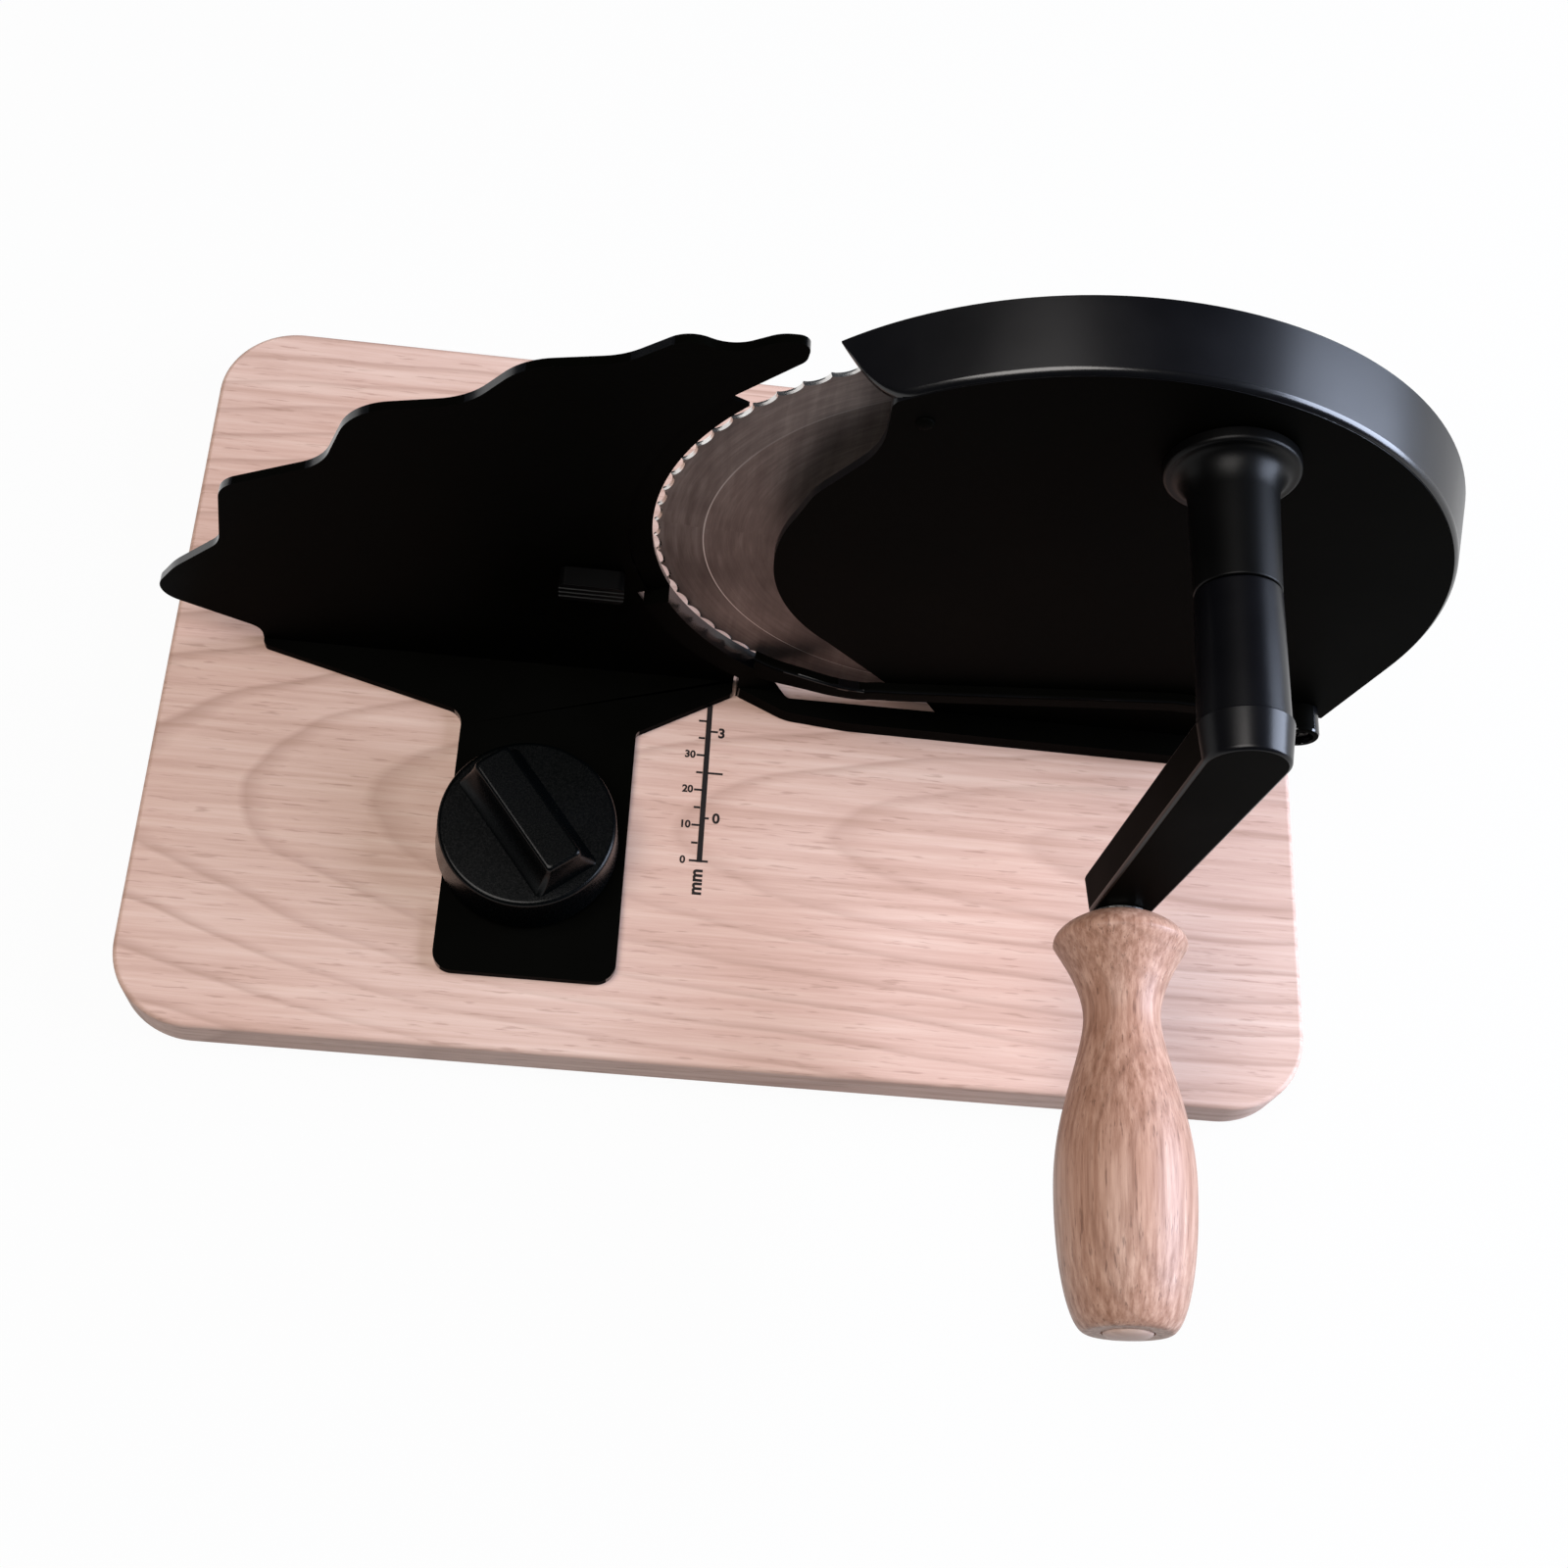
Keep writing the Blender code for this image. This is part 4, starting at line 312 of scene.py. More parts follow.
def prism(outline, axis, low, high, mesh=None):
    return lofted([[axisPoint(axis, a, b, along) for a, b in outline] for along in (low, high)], mesh)


def lofted(sections, mesh=None):
    mesh = mesh or bmesh.new()
    rings = [[mesh.verts.new(point) for point in section] for section in sections]
    mesh.faces.new(rings[0])
    mesh.faces.new(rings[-1])
    for one, two in zip(rings, rings[1:]):
        for k in range(len(one)):
            mesh.faces.new((one[k - 1], one[k], two[k], two[k - 1]))
    return mesh


def turned(profile, axis="Y", segments=72, centre=(0, 0), hollow=False, mesh=None):
    mesh = mesh or bmesh.new()
    rings = []                         # profile as (radius, along)
    for radius, along in profile:
        angles = [2 * math.pi * k / segments for k in range(segments if radius else 1)]
        rings.append([mesh.verts.new(axisPoint(axis, centre[0] + radius * math.cos(a),
                                               centre[1] + radius * math.sin(a), along)) for a in angles])
    pairs = list(zip(rings, rings[1:])) + ([(rings[-1], rings[0])] if hollow else [])
    if not hollow:
        for ring in (rings[0], rings[-1]):
            if len(ring) > 1:
                mesh.faces.new(ring)
    for one, two in pairs:
        for k in range(segments):
            j = (k + 1) % segments
            if len(one) == 1:
                mesh.faces.new((one[0], two[k], two[j]))
            elif len(two) == 1:
                mesh.faces.new((one[k], one[j], two[0]))
            else:
                mesh.faces.new((one[k], one[j], two[j], two[k]))
    return mesh


def meshObject(name, mesh):
    bmesh.ops.recalc_face_normals(mesh, faces=mesh.faces[:])
    data = bpy.data.meshes.new(name)
    mesh.to_mesh(data)
    mesh.free()
    thing = bpy.data.objects.new(name, data)
    bpy.context.scene.collection.objects.link(thing)
    return thing


def bake(thing):                       # the modifiers' result becomes the piece's own mesh
    bpy.context.view_layer.update()
    view = bpy.context.evaluated_depsgraph_get()
    made = bpy.data.meshes.new_from_object(thing.evaluated_get(view))
    thing.modifiers.clear()
    thing.data = made


def combine(thing, mesh, operation):
    other = meshObject(thing.name + "Other", mesh)
    step = thing.modifiers.new(operation, "BOOLEAN")
    step.operation = operation
    step.solver = "EXACT"
    step.object = other
    bake(thing)
    bpy.data.objects.remove(other)


def join(thing, mesh):
    combine(thing, mesh, "UNION")


def cutOut(thing, mesh):
    combine(thing, mesh, "DIFFERENCE")


def drill(thing, axis, centre, radius, low, high, segments):
    cutOut(thing, turned([(radius, low), (radius, high)], axis, segments, centre))


def soften(thing, width, segments=3):
    step = thing.modifiers.new("Edges", "BEVEL")
    step.width = width
    step.segments = segments
    step.limit_method = "ANGLE"
    step.angle_limit = math.radians(38)
    bake(thing)


def finishPiece(thing, body, materials, nodes=(), smooth=38.0, placed=False, pick=None):
    if not placed:
        thing.data.transform(drawing)
    thing.data.materials.clear()
    for material in materials:
        thing.data.materials.append(material)
    if pick:                           # the index of each face's material
        for face in thing.data.polygons:
            face.material_index = pick(face)
    thing.data.shade_smooth()
    thing.data.set_sharp_from_angle(angle=math.radians(smooth))
    step = thing.modifiers.new("Normals", "WEIGHTED_NORMAL")
    step.keep_sharp = True
    bake(thing)
    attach(thing, body)
    if nodes:
        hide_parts(*nodes)


def flatFace(face):                    # 0 on flat faces to the user or upwards, 1 on edges and sides
    return 0 if face.normal.y < -0.84 or face.normal.z > 0.84 else 1


# Geometry Nodes helpers

def startTree(name, inputs):
    tree = bpy.data.node_groups.new(name, "GeometryNodeTree")
    tree.interface.new_socket("Geometry", in_out="INPUT", socket_type="NodeSocketGeometry")
    tree.interface.new_socket("Geometry", in_out="OUTPUT", socket_type="NodeSocketGeometry")
    kinds = {float: "Float", int: "Int", tuple: "Vector", type(None): "Material"}
    for label, value in inputs.items():
        kind = "NodeSocket" + kinds[type(value)]
        made = tree.interface.new_socket(label, in_out="INPUT", socket_type=kind)
        if value is not None:
            made.default_value = value
    return tree, tree.nodes.new("NodeGroupInput").outputs, tree.nodes.new("NodeGroupOutput")


def endTree(tree, shape, given, end):
    plain = addNode(tree, "GeometryNodeRealizeInstances", {"Geometry": shape})
    dressed = addNode(tree, "GeometryNodeSetMaterial", {"Geometry": plain.outputs[0],
                                                        "Material": given["Material"]})
    tree.links.new(dressed.outputs[0], end.inputs[0])


def applyTree(name, tree, values, points=()):      # a piece made by the tree, turned into a plain mesh
    mesh = bmesh.new()
    for point in points:
        mesh.verts.new(point)
    thing = meshObject(name, mesh)
    step = thing.modifiers.new("Nodes", "NODES")
    step.node_group = tree
    for item in tree.interface.items_tree:
        if item.in_out == "INPUT" and item.name in values:
            step[item.identifier] = values[item.name]
    bake(thing)
    return thing


# Board: beech plank, with the clamp's slot and the sunk screws below

board = {"length": 360.0, "width": 245.0, "low": 4.0, "corner": 25.0, "edge": 1.7,
         "slotX": -62.5, "slotLow": -82.5, "slotHigh": -53.5, "slotHalf": 3.3,
         "pocketHalf": 11.8, "pocketRoom": 10.0, "pocketTop": 11.5, "pocketCorner": 4.0,
         "sunkRadius": 4.17, "sunkTop": 9.0}
sunkNodes = ["housing_screw_1", "housing_screw_2", "frame_screw_1", "frame_screw_2"]


def makeBoard():
    halfLength, halfWidth = board["length"] / 2, board["width"] / 2
    outline = oblong(-halfLength, halfLength, -halfWidth, halfWidth, board["corner"], 4)
    plank = meshObject("beechBoard", prism(outline, "Z", board["low"], boardTop))
    soften(plank, board["edge"], 4)
    x, low, high, half = board["slotX"], board["slotLow"], board["slotHigh"], board["slotHalf"]
    cutOut(plank, prism(oblong(x - half, x + half, low, high, half), "Z", 0, boardTop + 5))
    half, room = board["pocketHalf"], board["pocketRoom"]
    pocket = oblong(x - half, x + half, low - room, high + room, board["pocketCorner"])
    cutOut(plank, prism(pocket, "Z", 0, board["pocketTop"]))
    sunk = bmesh.new()
    radius, top = board["sunkRadius"], board["sunkTop"]
    for node in sunkNodes:
        turned([(0, 0), (radius, 0), (radius, top), (0, top)], "Z", 28, nodeSpot(node)[:2], mesh=sunk)
    cutOut(plank, sunk)
    finishPiece(plank, "root", [boardBeech], ["base_board"])


makeBoard()
print("board done")


# Feet: turned rubber discs, hollow for their screws

feet = {"radius": 9.0, "round": 1.4, "top": 3.7, "well": 4.2, "wellTop": 2.0, "bore": 2.0}


def makeFeet():
    mesh = bmesh.new()
    radius, well, top, edge = feet["radius"], feet["well"], feet["top"], feet["round"]
    bore, wellTop = feet["bore"], feet["wellTop"]
    profile = [(well, 0.3), (well + 0.3, 0), (radius - edge, 0)]
    profile += curve((radius - edge, edge), edge, edge, -90, 0, 6)[1:]
    profile += [(radius, top - 0.2), (radius - 0.2, top), (bore, top), (bore, wellTop), (well, wellTop)]
    nodes = [f"rubber_foot_{k}" for k in (1, 2, 3, 4)]
    for node in nodes:
        turned(profile, "Z", 56, nodeSpot(node)[:2], hollow=True, mesh=mesh)
    finishPiece(meshObject("turnedFeet", mesh), "root", [rubber], nodes)


makeFeet()


# Screw heads: one tree sets a cross-slotted head at every point

def screwTree():
    tree, given, end = startTree("crossSlottedHeads", {
        "Radius": 0.0035, "Height": 0.0016, "Slot Width": 0.0009, "Rotation": (0, 0, 0), "Material": None})
    radius, height = given["Radius"], given["Height"]
    head = addNode(tree, "GeometryNodeMeshCone", {
        "Vertices": 40, "Radius Top": calc(tree, "MULTIPLY", radius, 0.84), "Radius Bottom": radius,
        "Depth": height})
    reach = calc(tree, "MULTIPLY", radius, 1.25)
    depth = calc(tree, "MULTIPLY", height, 0.9)
    lift = addNode(tree, "ShaderNodeCombineXYZ", {"Z": height})
    cut = addNode(tree, "GeometryNodeMeshBoolean", {"Mesh 1": head.outputs["Mesh"]}, operation="DIFFERENCE",
                  solver="EXACT")
    for along, across in ("XY", "YX"):
        sides = {along: reach, across: given["Slot Width"], "Z": depth}
        size = addNode(tree, "ShaderNodeCombineXYZ", sides)
        bar = addNode(tree, "GeometryNodeMeshCube", {"Size": size.outputs[0]})
        raised = addNode(tree, "GeometryNodeTransform", {"Geometry": bar.outputs["Mesh"],
                                                         "Translation": lift.outputs[0]})
        tree.links.new(raised.outputs[0], cut.inputs["Mesh 2"])
    shown = addNode(tree, "GeometryNodeInstanceOnPoints", {
        "Points": given["Geometry"], "Instance": cut.outputs["Mesh"], "Rotation": given["Rotation"]})
    endTree(tree, shown.outputs[0], given, end)
    return tree


headTree = screwTree()


def screwHeads(name, nodes, body, radius, height, side, material=zincSteel):
    turn, inward = {"below": (math.pi, (0, 0, 1)), "front": (math.pi / 2, (0, 1, 0)),
                    "back": (-math.pi / 2, (0, -1, 0))}[side]
    points = []
    for node in nodes:
        low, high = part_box(node)
        point = (low + high) / 2
        if side == "below":
            point.z = low.z
        else:
            point.y = low.y if side == "front" else high.y
        points.append(point + Vector(inward) * height * mm)
    thing = applyTree(name, headTree, {"Radius": radius * mm, "Height": height * mm,
                                       "Slot Width": 0.26 * radius * mm, "Rotation": (turn, 0.0, 0.0),
                                       "Material": material}, points)
    finishPiece(thing, body, [material], nodes, placed=True)


screwHeads("sunkScrewHeads", sunkNodes, "root", 3.5, 1.7, "below")
screwHeads("footScrewHeads", [f"foot_screw_{k}" for k in (1, 2, 3, 4)], "root", 3.5, 1.3, "below")
screwHeads("trackScrewHeads", ["track_screw_1", "track_screw_2"], "root", 2.6, 1.0, "below")
screwHeads("bladeScrewHeads", [f"gear_screw_{k}" for k in (1, 2, 3)], "blade", 1.95, 0.8, "back")
screwHeads("bossScrewHead", ["corner_screw"], "root", 3.6, 1.6, "front", turnedSteel)
screwHeads("capScrewHead", ["cap_screw"], "root", 5.1, 1.3, "back", turnedSteel)
print("feet and screws done")


# Blade: one tree lays a grid round the axis and bites the scallops out of its edge

blade = {"radius": 93.0, "teeth": 72, "bite": 1.35, "bevel": 14.0, "front": 4.1, "back": 6.1,
         "edge": 0.5, "bore": 11.3, "honed": 0.4}


def bladeTree():
    tree, given, end = startTree("scallopedDisc", {
        "Radius": 0.093, "Teeth": 72, "Bite": 0.0017, "Bevel": 0.014, "Bore": 0.0113, "Front": 0.0,
        "Back": 0.002, "Edge": 0.0005, "Honed": 0.0004, "Centre": (0, 0, 0), "Material": None})

    def sums(operation, *values):
        return calc(tree, operation, *values)

    outer, bore, front, back, honed = (given[key] for key in ("Radius", "Bore", "Front", "Back", "Honed"))
    stepIn = sums("SUBTRACT", outer, given["Bevel"])
    edgeFront = sums("SUBTRACT", back, given["Edge"])
    groove = sums("ADD", front, 0.00014)
    middle = sums("MULTIPLY", outer, 0.5)
    # One row of the grid per ring of the section, from the bore's front round to its front again:
    # radius, height along the axis and share of the bite
    section = [(bore, front, 0.0), (middle, front, 0.0),
               (sums("SUBTRACT", stepIn, 0.00018), front, 0.0), (sums("ADD", stepIn, 0.00018), groove, 0.0),
               (sums("MULTIPLY_ADD", given["Bevel"], -0.5, outer),
                sums("MULTIPLY", sums("ADD", groove, edgeFront), 0.5), 0.12),
               (sums("MULTIPLY_ADD", honed, -1.5, outer), sums("SUBTRACT", edgeFront, honed), 1.0),
               (outer, edgeFront, 1.0), (outer, back, 1.0), (sums("SUBTRACT", outer, 0.003), back, 0.55),
               (middle, back, 0.0), (bore, back, 0.0), (bore, front, 0.0)]
    rows = len(section)
    across = sums("MULTIPLY_ADD", given["Teeth"], 10, 1)
    grid = addNode(tree, "GeometryNodeMeshGrid", {"Size X": 1.0, "Size Y": 1.0, "Vertices X": across,
                                                  "Vertices Y": rows})
    place = addNode(tree, "GeometryNodeInputPosition")
    parts = addNode(tree, "ShaderNodeSeparateXYZ", {"Vector": place.outputs[0]}).outputs
    turn = sums("ADD", parts["X"], 0.5)
    row = sums("MULTIPLY_ADD", parts["Y"], rows - 1, (rows - 1) / 2)
    row = addNode(tree, "FunctionNodeFloatToInt", {"Float": row}, rounding_mode="ROUND").outputs[0]
    picked = []
    for values in zip(*section):
        node = addNode(tree, "GeometryNodeIndexSwitch", {"Index": row}, data_type="FLOAT")
        while len(node.index_switch_items) < rows:
            node.index_switch_items.new()
        for k, value in enumerate(values):
            if isinstance(value, float):
                node.inputs[k + 1].default_value = value
            else:
                tree.links.new(value, node.inputs[k + 1])
        picked.append(node.outputs[0])
    share = sums("FRACT", sums("MULTIPLY_ADD", turn, given["Teeth"], 0.0001))
    hollow = sums("MULTIPLY", sums("MULTIPLY", share, sums("SUBTRACT", 1, share)), 4)
    hollow = sums("POWER", sums("MAXIMUM", hollow, 0), 0.75)
    bite = sums("MULTIPLY", sums("MULTIPLY", hollow, given["Bite"]), picked[2])
    reach = sums("SUBTRACT", picked[0], bite)
    angle = sums("MULTIPLY", turn, 2 * math.pi)
    point = addNode(tree, "ShaderNodeCombineXYZ", {
        "X": sums("MULTIPLY", reach, sums("COSINE", angle)), "Y": picked[1],
        "Z": sums("MULTIPLY", reach, sums("SINE", angle))})
    moved = addNode(tree, "ShaderNodeVectorMath", {0: point.outputs[0], 1: given["Centre"]}, operation="ADD")
    shaped = addNode(tree, "GeometryNodeSetPosition", {"Geometry": grid.outputs["Mesh"],
                                                       "Position": moved.outputs[0]})
    closed = addNode(tree, "GeometryNodeMergeByDistance", {"Geometry": shaped.outputs[0],
                                                           "Distance": 0.000002})
    endTree(tree, closed.outputs[0], given, end)
    return tree


def makeBlade():
    values = {key.capitalize(): blade[key] * mm for key in blade if key != "teeth"}
    values.update({"Teeth": blade["teeth"], "Centre": tuple(spot(axisX, 0, axisZ)), "Material": groundSteel})
    disc = applyTree("scallopedBlade", bladeTree(), values)
    mesh = bmesh.new()
    mesh.from_mesh(disc.data)
    bmesh.ops.recalc_face_normals(mesh, faces=mesh.faces[:])
    mesh.to_mesh(disc.data)
    mesh.free()

    def honedEdge(face):               # the narrow front bevel along the scallops and the rim behind it
        reach = math.hypot(face.center.x - middleX - axisX * mm, face.center.z - axisZ * mm)
        return 1 if reach > (blade["radius"] - 3.5) * mm and abs(face.normal.y) < 0.93 else 0

    finishPiece(disc, "blade", [groundSteel, honedSteel], ["blade_disc"], 25.0, placed=True,
                pick=honedEdge)


makeBlade()

cap = {"radius": 22.0, "back": 6.7, "rim": 7.4, "rise": 1.9, "round": 6.0, "bore": 2.3, "recess": 5.6,
       "floor": 7.9}


def makeAxleCap():
    radius, back, rim, recess = cap["radius"], cap["back"], cap["rim"], cap["recess"]
    profile = [(cap["bore"], back), (radius - 0.4, back), (radius, back + 0.4), (radius, rim)]
    profile += curve((radius - cap["round"], rim), cap["round"], cap["rise"], 0, 90, 9)[1:]
    top = rim + cap["rise"]
    profile += [(recess + 0.3, top), (recess, top - 0.3), (recess, cap["floor"]), (cap["bore"], cap["floor"])]
    disc = meshObject("turnedAxleCap", turned(profile, "Y", 96, bladeAxis, hollow=True))
    finishPiece(disc, "root", [turnedSteel], ["axle_cap"])


makeAxleCap()
print("blade done")


# Housing: hood rim, face plate, ledge and web in one casting

hood = {"x": 82.5, "z": 117.0, "radius": 105.0, "flare": 3.5, "front": -8.0, "back": 12.0, "wall": 2.2,
        "edge": 2.0, "start": 133.5, "slant": 11.0, "end": -12.0}
casing = {"back": -5.5, "left": 46.0, "bulgeX": 62.0, "bulgeZ": 124.0, "bulgeRadius": 62.0, "bulgeLow": 228,
          "bulgeHigh": 160, "ledge": 2.5, "ledgeFront": -7.0, "webFront": -1.0, "webBack": 1.5,
          "webLeft": 65.0, "shoe": 66.0, "shoeHeight": 4.0, "bore": 10.3, "soft": 1.0}
railTurn = 128.0


def railHeight(x):
    return boardTop + 30.5 + 0.133 * (min(x, railTurn) - 44) - 0.06 * max(0.0, x - railTurn)


def hoodSection(angle, front):
    cos, sin = direction(angle)
    edge = min(hood["edge"], 0.3 * (hood["back"] - front))

    def point(inset, y):
        flare = hood["flare"] * (y - hood["front"]) / (hood["back"] - hood["front"])
        reach = hood["radius"] + flare - inset
        return (hood["x"] + cos * reach, y, hood["z"] + sin * reach)

    profile = curve((edge, front + edge), edge, edge, 270, 180, 6)
    profile += [(0, hood["back"]), (hood["wall"], hood["back"]), (hood["wall"], front)]
    return [point(inset, y) for inset, y in profile]


def hoodSections():
    sections = []
    for k in range(25):                # the slanted left end, which rises to a point
        share = k / 24
        front = hood["front"] + 0.97 * (1 - share) ** 2.45 * (hood["back"] - hood["front"])
        sections.append(hoodSection(hood["start"] - share * hood["slant"], front))
    first = hood["start"] - hood["slant"]
    for k in range(1, 71):
        sections.append(hoodSection(first + (hood["end"] - first) * k / 70, hood["front"]))
    return sections


def makeHousing():
    sections = hoodSections()
    cos, sin = direction(hood["end"])
    lean = sin / cos                   # of the hood's straight right end, which goes down to the board
    sections.append([(x + lean * (z - footLevel), y, footLevel) for x, y, z in sections[-1]])
    shell = meshObject("enamelledHousing", lofted(sections))

    centre = (hood["x"], hood["z"])
    inner = hood["radius"] - hood["wall"] / 2
    sideX, sideZ = hood["x"] + inner * cos, hood["z"] + inner * sin
    level = railHeight(168)
    right = sideX + lean * (sideZ - level)
    top = arc(centre, inner, 126, hood["end"], 1.5)
    bulge = (casing["bulgeX"], casing["bulgeZ"])
    left = arc(bulge, casing["bulgeRadius"], casing["bulgeLow"], casing["bulgeHigh"], 1.5)
    (x, z), (endX, endZ) = left[-1], top[0]
    turnIn = rounded([(x, z, 0), (x + 3.2, z + 11.3, 20), (x + 17.7, z + 34.8, 30),
                      (endX - 1, endZ - 2, 3), (endX, endZ, 0)], 3)[1:-1]
    bend = (railTurn, railHeight(railTurn))
    start = (casing["left"], railHeight(casing["left"]))
    outline = top + [(right, level), bend, start] + left + turnIn
    join(shell, prism(outline, "Y", hood["front"], casing["back"]))
    rise = casing["ledge"]
    ledge = [start, bend, (right, level), (right, level + rise), (bend[0], bend[1] + rise),
             (start[0], start[1] + rise)]
    join(shell, prism(ledge, "Y", casing["ledgeFront"], casing["webBack"]))
    footX = sideX + lean * (sideZ - footLevel)
    web = [(casing["webLeft"], footLevel), (footX, footLevel), (right, level + rise / 2),
           (bend[0], bend[1] + rise / 2), (start[0], start[1] + rise / 2)]
    join(shell, prism(web, "Y", casing["webFront"], casing["webBack"]))
    cut = [(casing["left"], footLevel - 1), (footX + 20, footLevel - 1), (footX + 20, level), bend, start]
    cutOut(shell, prism(cut, "Y", hood["front"] - 5, casing["webFront"]))
    shoe = oblong(footX - casing["shoe"], footX, 0.5, hood["back"])
    join(shell, prism(shoe, "Z", footLevel, footLevel + casing["shoeHeight"]))
    drill(shell, "Y", crankAxis, casing["bore"], hood["front"] - 1, casing["back"] + 1.5, 48)
    soften(shell, casing["soft"])

    def housingFace(side):             # the front is matt, the hood's band half matt, edges are satin
        return 0 if side.normal.y < -0.9 else 2 if abs(side.normal.y) < 0.2 else 1

    finishPiece(shell, "root", [mattEnamel, enamel, castEnamel], ["housing_shell"],
                pick=housingFace)


makeHousing()

rivet = {"radius": 2.4, "top": -9.2, "rise": 1.1, "back": -7.9}


def makeRivet():
    x, y, z = nodeSpot("face_rivet")
    profile = [(0, rivet["top"])]
    profile += curve((0, rivet["top"] + rivet["rise"]), rivet["radius"], rivet["rise"], -90, 0, 6)[1:]
    profile += [(rivet["radius"], rivet["back"]), (0, rivet["back"])]
    finishPiece(meshObject("domedRivet", turned(profile, "Y", 36, (x, z))), "root",
                [mattEnamel], ["face_rivet"])


makeRivet()
print("housing done")


# Guard frame: arm beside the blade, bar on the board, rail and boss

guard = {"inner": 94.2, "outer": 102.2, "start": 203.5, "front": 0.8, "back": 6.6, "barHeight": 6.0,
         "railDepth": 3.3, "railHeight": 6.0, "railFront": -11.6, "railEdge": 1.1, "bossX": 168.0,
         "bossZ": 63.0, "bossRadius": 6.0, "bossFront": -17.3, "bossBack": -8.3, "soft": 0.75}


def railSection(x, front, low, high):
    edge, back = guard["railEdge"], front + guard["railDepth"]
    profile = [(front, low + 0.5), (front, high - edge)]
    profile += curve((front + edge, high - edge), edge, edge, 180, 90, 5)[1:]
    return [(x, y, z) for y, z in profile + [(back, high), (back, low), (front + 0.5, low)]]


def railSections():
    stations = [(2, 1, 34, 45.5), (8, -1, 35.5, 45), (17, -4, 38.5, 46.5), (26, -7.6, 42.6, 49.4)]
    front = guard["railFront"]         # stations as (x, front, low, high)
    for x in (35, 46, 75, 100, 128, 148, guard["bossX"]):
        stations.append((x, front, railHeight(x), railHeight(x) + guard["railHeight"]))
    fine = []
    for k in range(len(stations) - 1):             # a smooth curve through the stations
        before, one = stations[max(0, k - 1)], stations[k]
        two, after = stations[k + 1], stations[min(len(stations) - 1, k + 2)]
        steps = 6 if k < 5 else 1
        for j in range(steps):
            t = j / steps
            point = []
            for a, b, c, d in zip(before, one, two, after):
                slopeOne = (c - a) / max(1e-6, two[0] - before[0]) * (two[0] - one[0])
                slopeTwo = (d - b) / max(1e-6, after[0] - one[0]) * (two[0] - one[0])
                point.append((2 * t ** 3 - 3 * t ** 2 + 1) * b + (t ** 3 - 2 * t ** 2 + t) * slopeOne
                             + (3 * t ** 2 - 2 * t ** 3) * c + (t ** 3 - t ** 2) * slopeTwo)
            point[0] = one[0] + (two[0] - one[0]) * t
            point[1] = max(point[1], front)
            fine.append(point)
    return [railSection(*point) for point in fine + [stations[-1]]]


def makeGuard():
    outerEnd = 180 + math.degrees(math.acos((axisX + 2) / guard["outer"]))
    innerEnd = 180 + math.degrees(math.acos((axisX - 8) / guard["inner"]))
    outline = arc(bladeAxis, guard["outer"], guard["start"], outerEnd, 1.2)
    outline += [(-2, footLevel), (8, footLevel)]
    outline += arc(bladeAxis, guard["inner"], innerEnd, guard["start"], 1.2)
    casting = meshObject("guardFrame", prism(outline, "Y", guard["front"], guard["back"]))
    bar = rounded([(-2, 6.6, 0), (-2, 0.8, 2), (14, -6.4, 16), (34, -8.2, 14), (168, -9.2, 2),
                   (168, -1.3, 0.5), (14, -1.3, 3), (8, 6.6, 0)], 4)
    join(casting, prism(bar, "Z", footLevel, footLevel + guard["barHeight"]))
    join(casting, lofted(railSections()))
    boss = (guard["bossX"], guard["bossZ"])
    radius, front, back = guard["bossRadius"], guard["bossFront"], guard["bossBack"]
    profile = [(0, front), (radius - 1, front), (radius - 0.3, front + 0.3), (radius, front + 1),
               (radius, back), (0, back)]
    join(casting, turned(profile, "Y", 48, boss))
    recess = [(0, front - 1), (4.6, front - 1), (3.96, front + 0.4), (3.96, front + 4), (0, front + 4)]
    cutOut(casting, turned(recess, "Y", 40, boss))
    soften(casting, guard["soft"])
    finishPiece(casting, "root", [mattEnamel, enamel], ["guard_frame"], pick=flatFace)


makeGuard()
print("guard done")


# Crank sleeve, arm and pin

sleeve = {"seat": -8.3, "length": 37.0, "radius": 11.2, "endRadius": 10.7, "flangeRadius": 17.2,
          "flange": 3.4, "fillet": 8.0, "round": 1.2, "bore": 8.0, "spigot": 10.0, "shaftRoom": 5.6}
arm = {"length": 97.5, "angle": 2.6, "thickness": 11.0, "headRadius": 11.8, "endRadius": 9.4, "draft": 1.1,
       "headLength": 46.0, "edge": 1.3, "shaftRoom": 5.3, "screwRoom": 2.3, "pinRoom": 3.8}
headBack = sleeve["seat"] - sleeve["length"] - seatGap
armFront = headBack - arm["headLength"]
armBack = armFront + arm["thickness"]
armCos, armSin = direction(arm["angle"])
handleAxis = (crankX - arm["length"] * armSin, crankZ - arm["length"] * armCos)


def makeSleeve():
    seat, edge, bore, spigot = sleeve["seat"], sleeve["round"], sleeve["bore"], sleeve["spigot"]
    nose = seat - sleeve["length"]
    rim = seat - sleeve["flange"]
    outer, end, fillet = sleeve["flangeRadius"], sleeve["endRadius"], sleeve["fillet"]
    profile = [(bore, -5.8), (spigot, -5.8), (spigot, seat), (outer, seat), (outer, rim + edge)]
    profile += curve((outer - edge, rim + edge), edge, edge, 0, -90, 6)[1:]
    width = outer - 1.8 - sleeve["radius"]
    profile += curve((sleeve["radius"] + width, rim - fillet), width, fillet, 90, 180, 12)
    profile += [(end + 0.02, nose + 0.5), (end - 0.1, nose + 0.2), (end - 0.4, nose),
                (sleeve["shaftRoom"], nose), (sleeve["shaftRoom"], nose + 1), (bore, nose + 1)]
    bearing = meshObject("crankSleeve", turned(profile, "Y", 96, crankAxis, hollow=True))
    finishPiece(bearing, "root", [ribEnamel], ["crank_sleeve"])


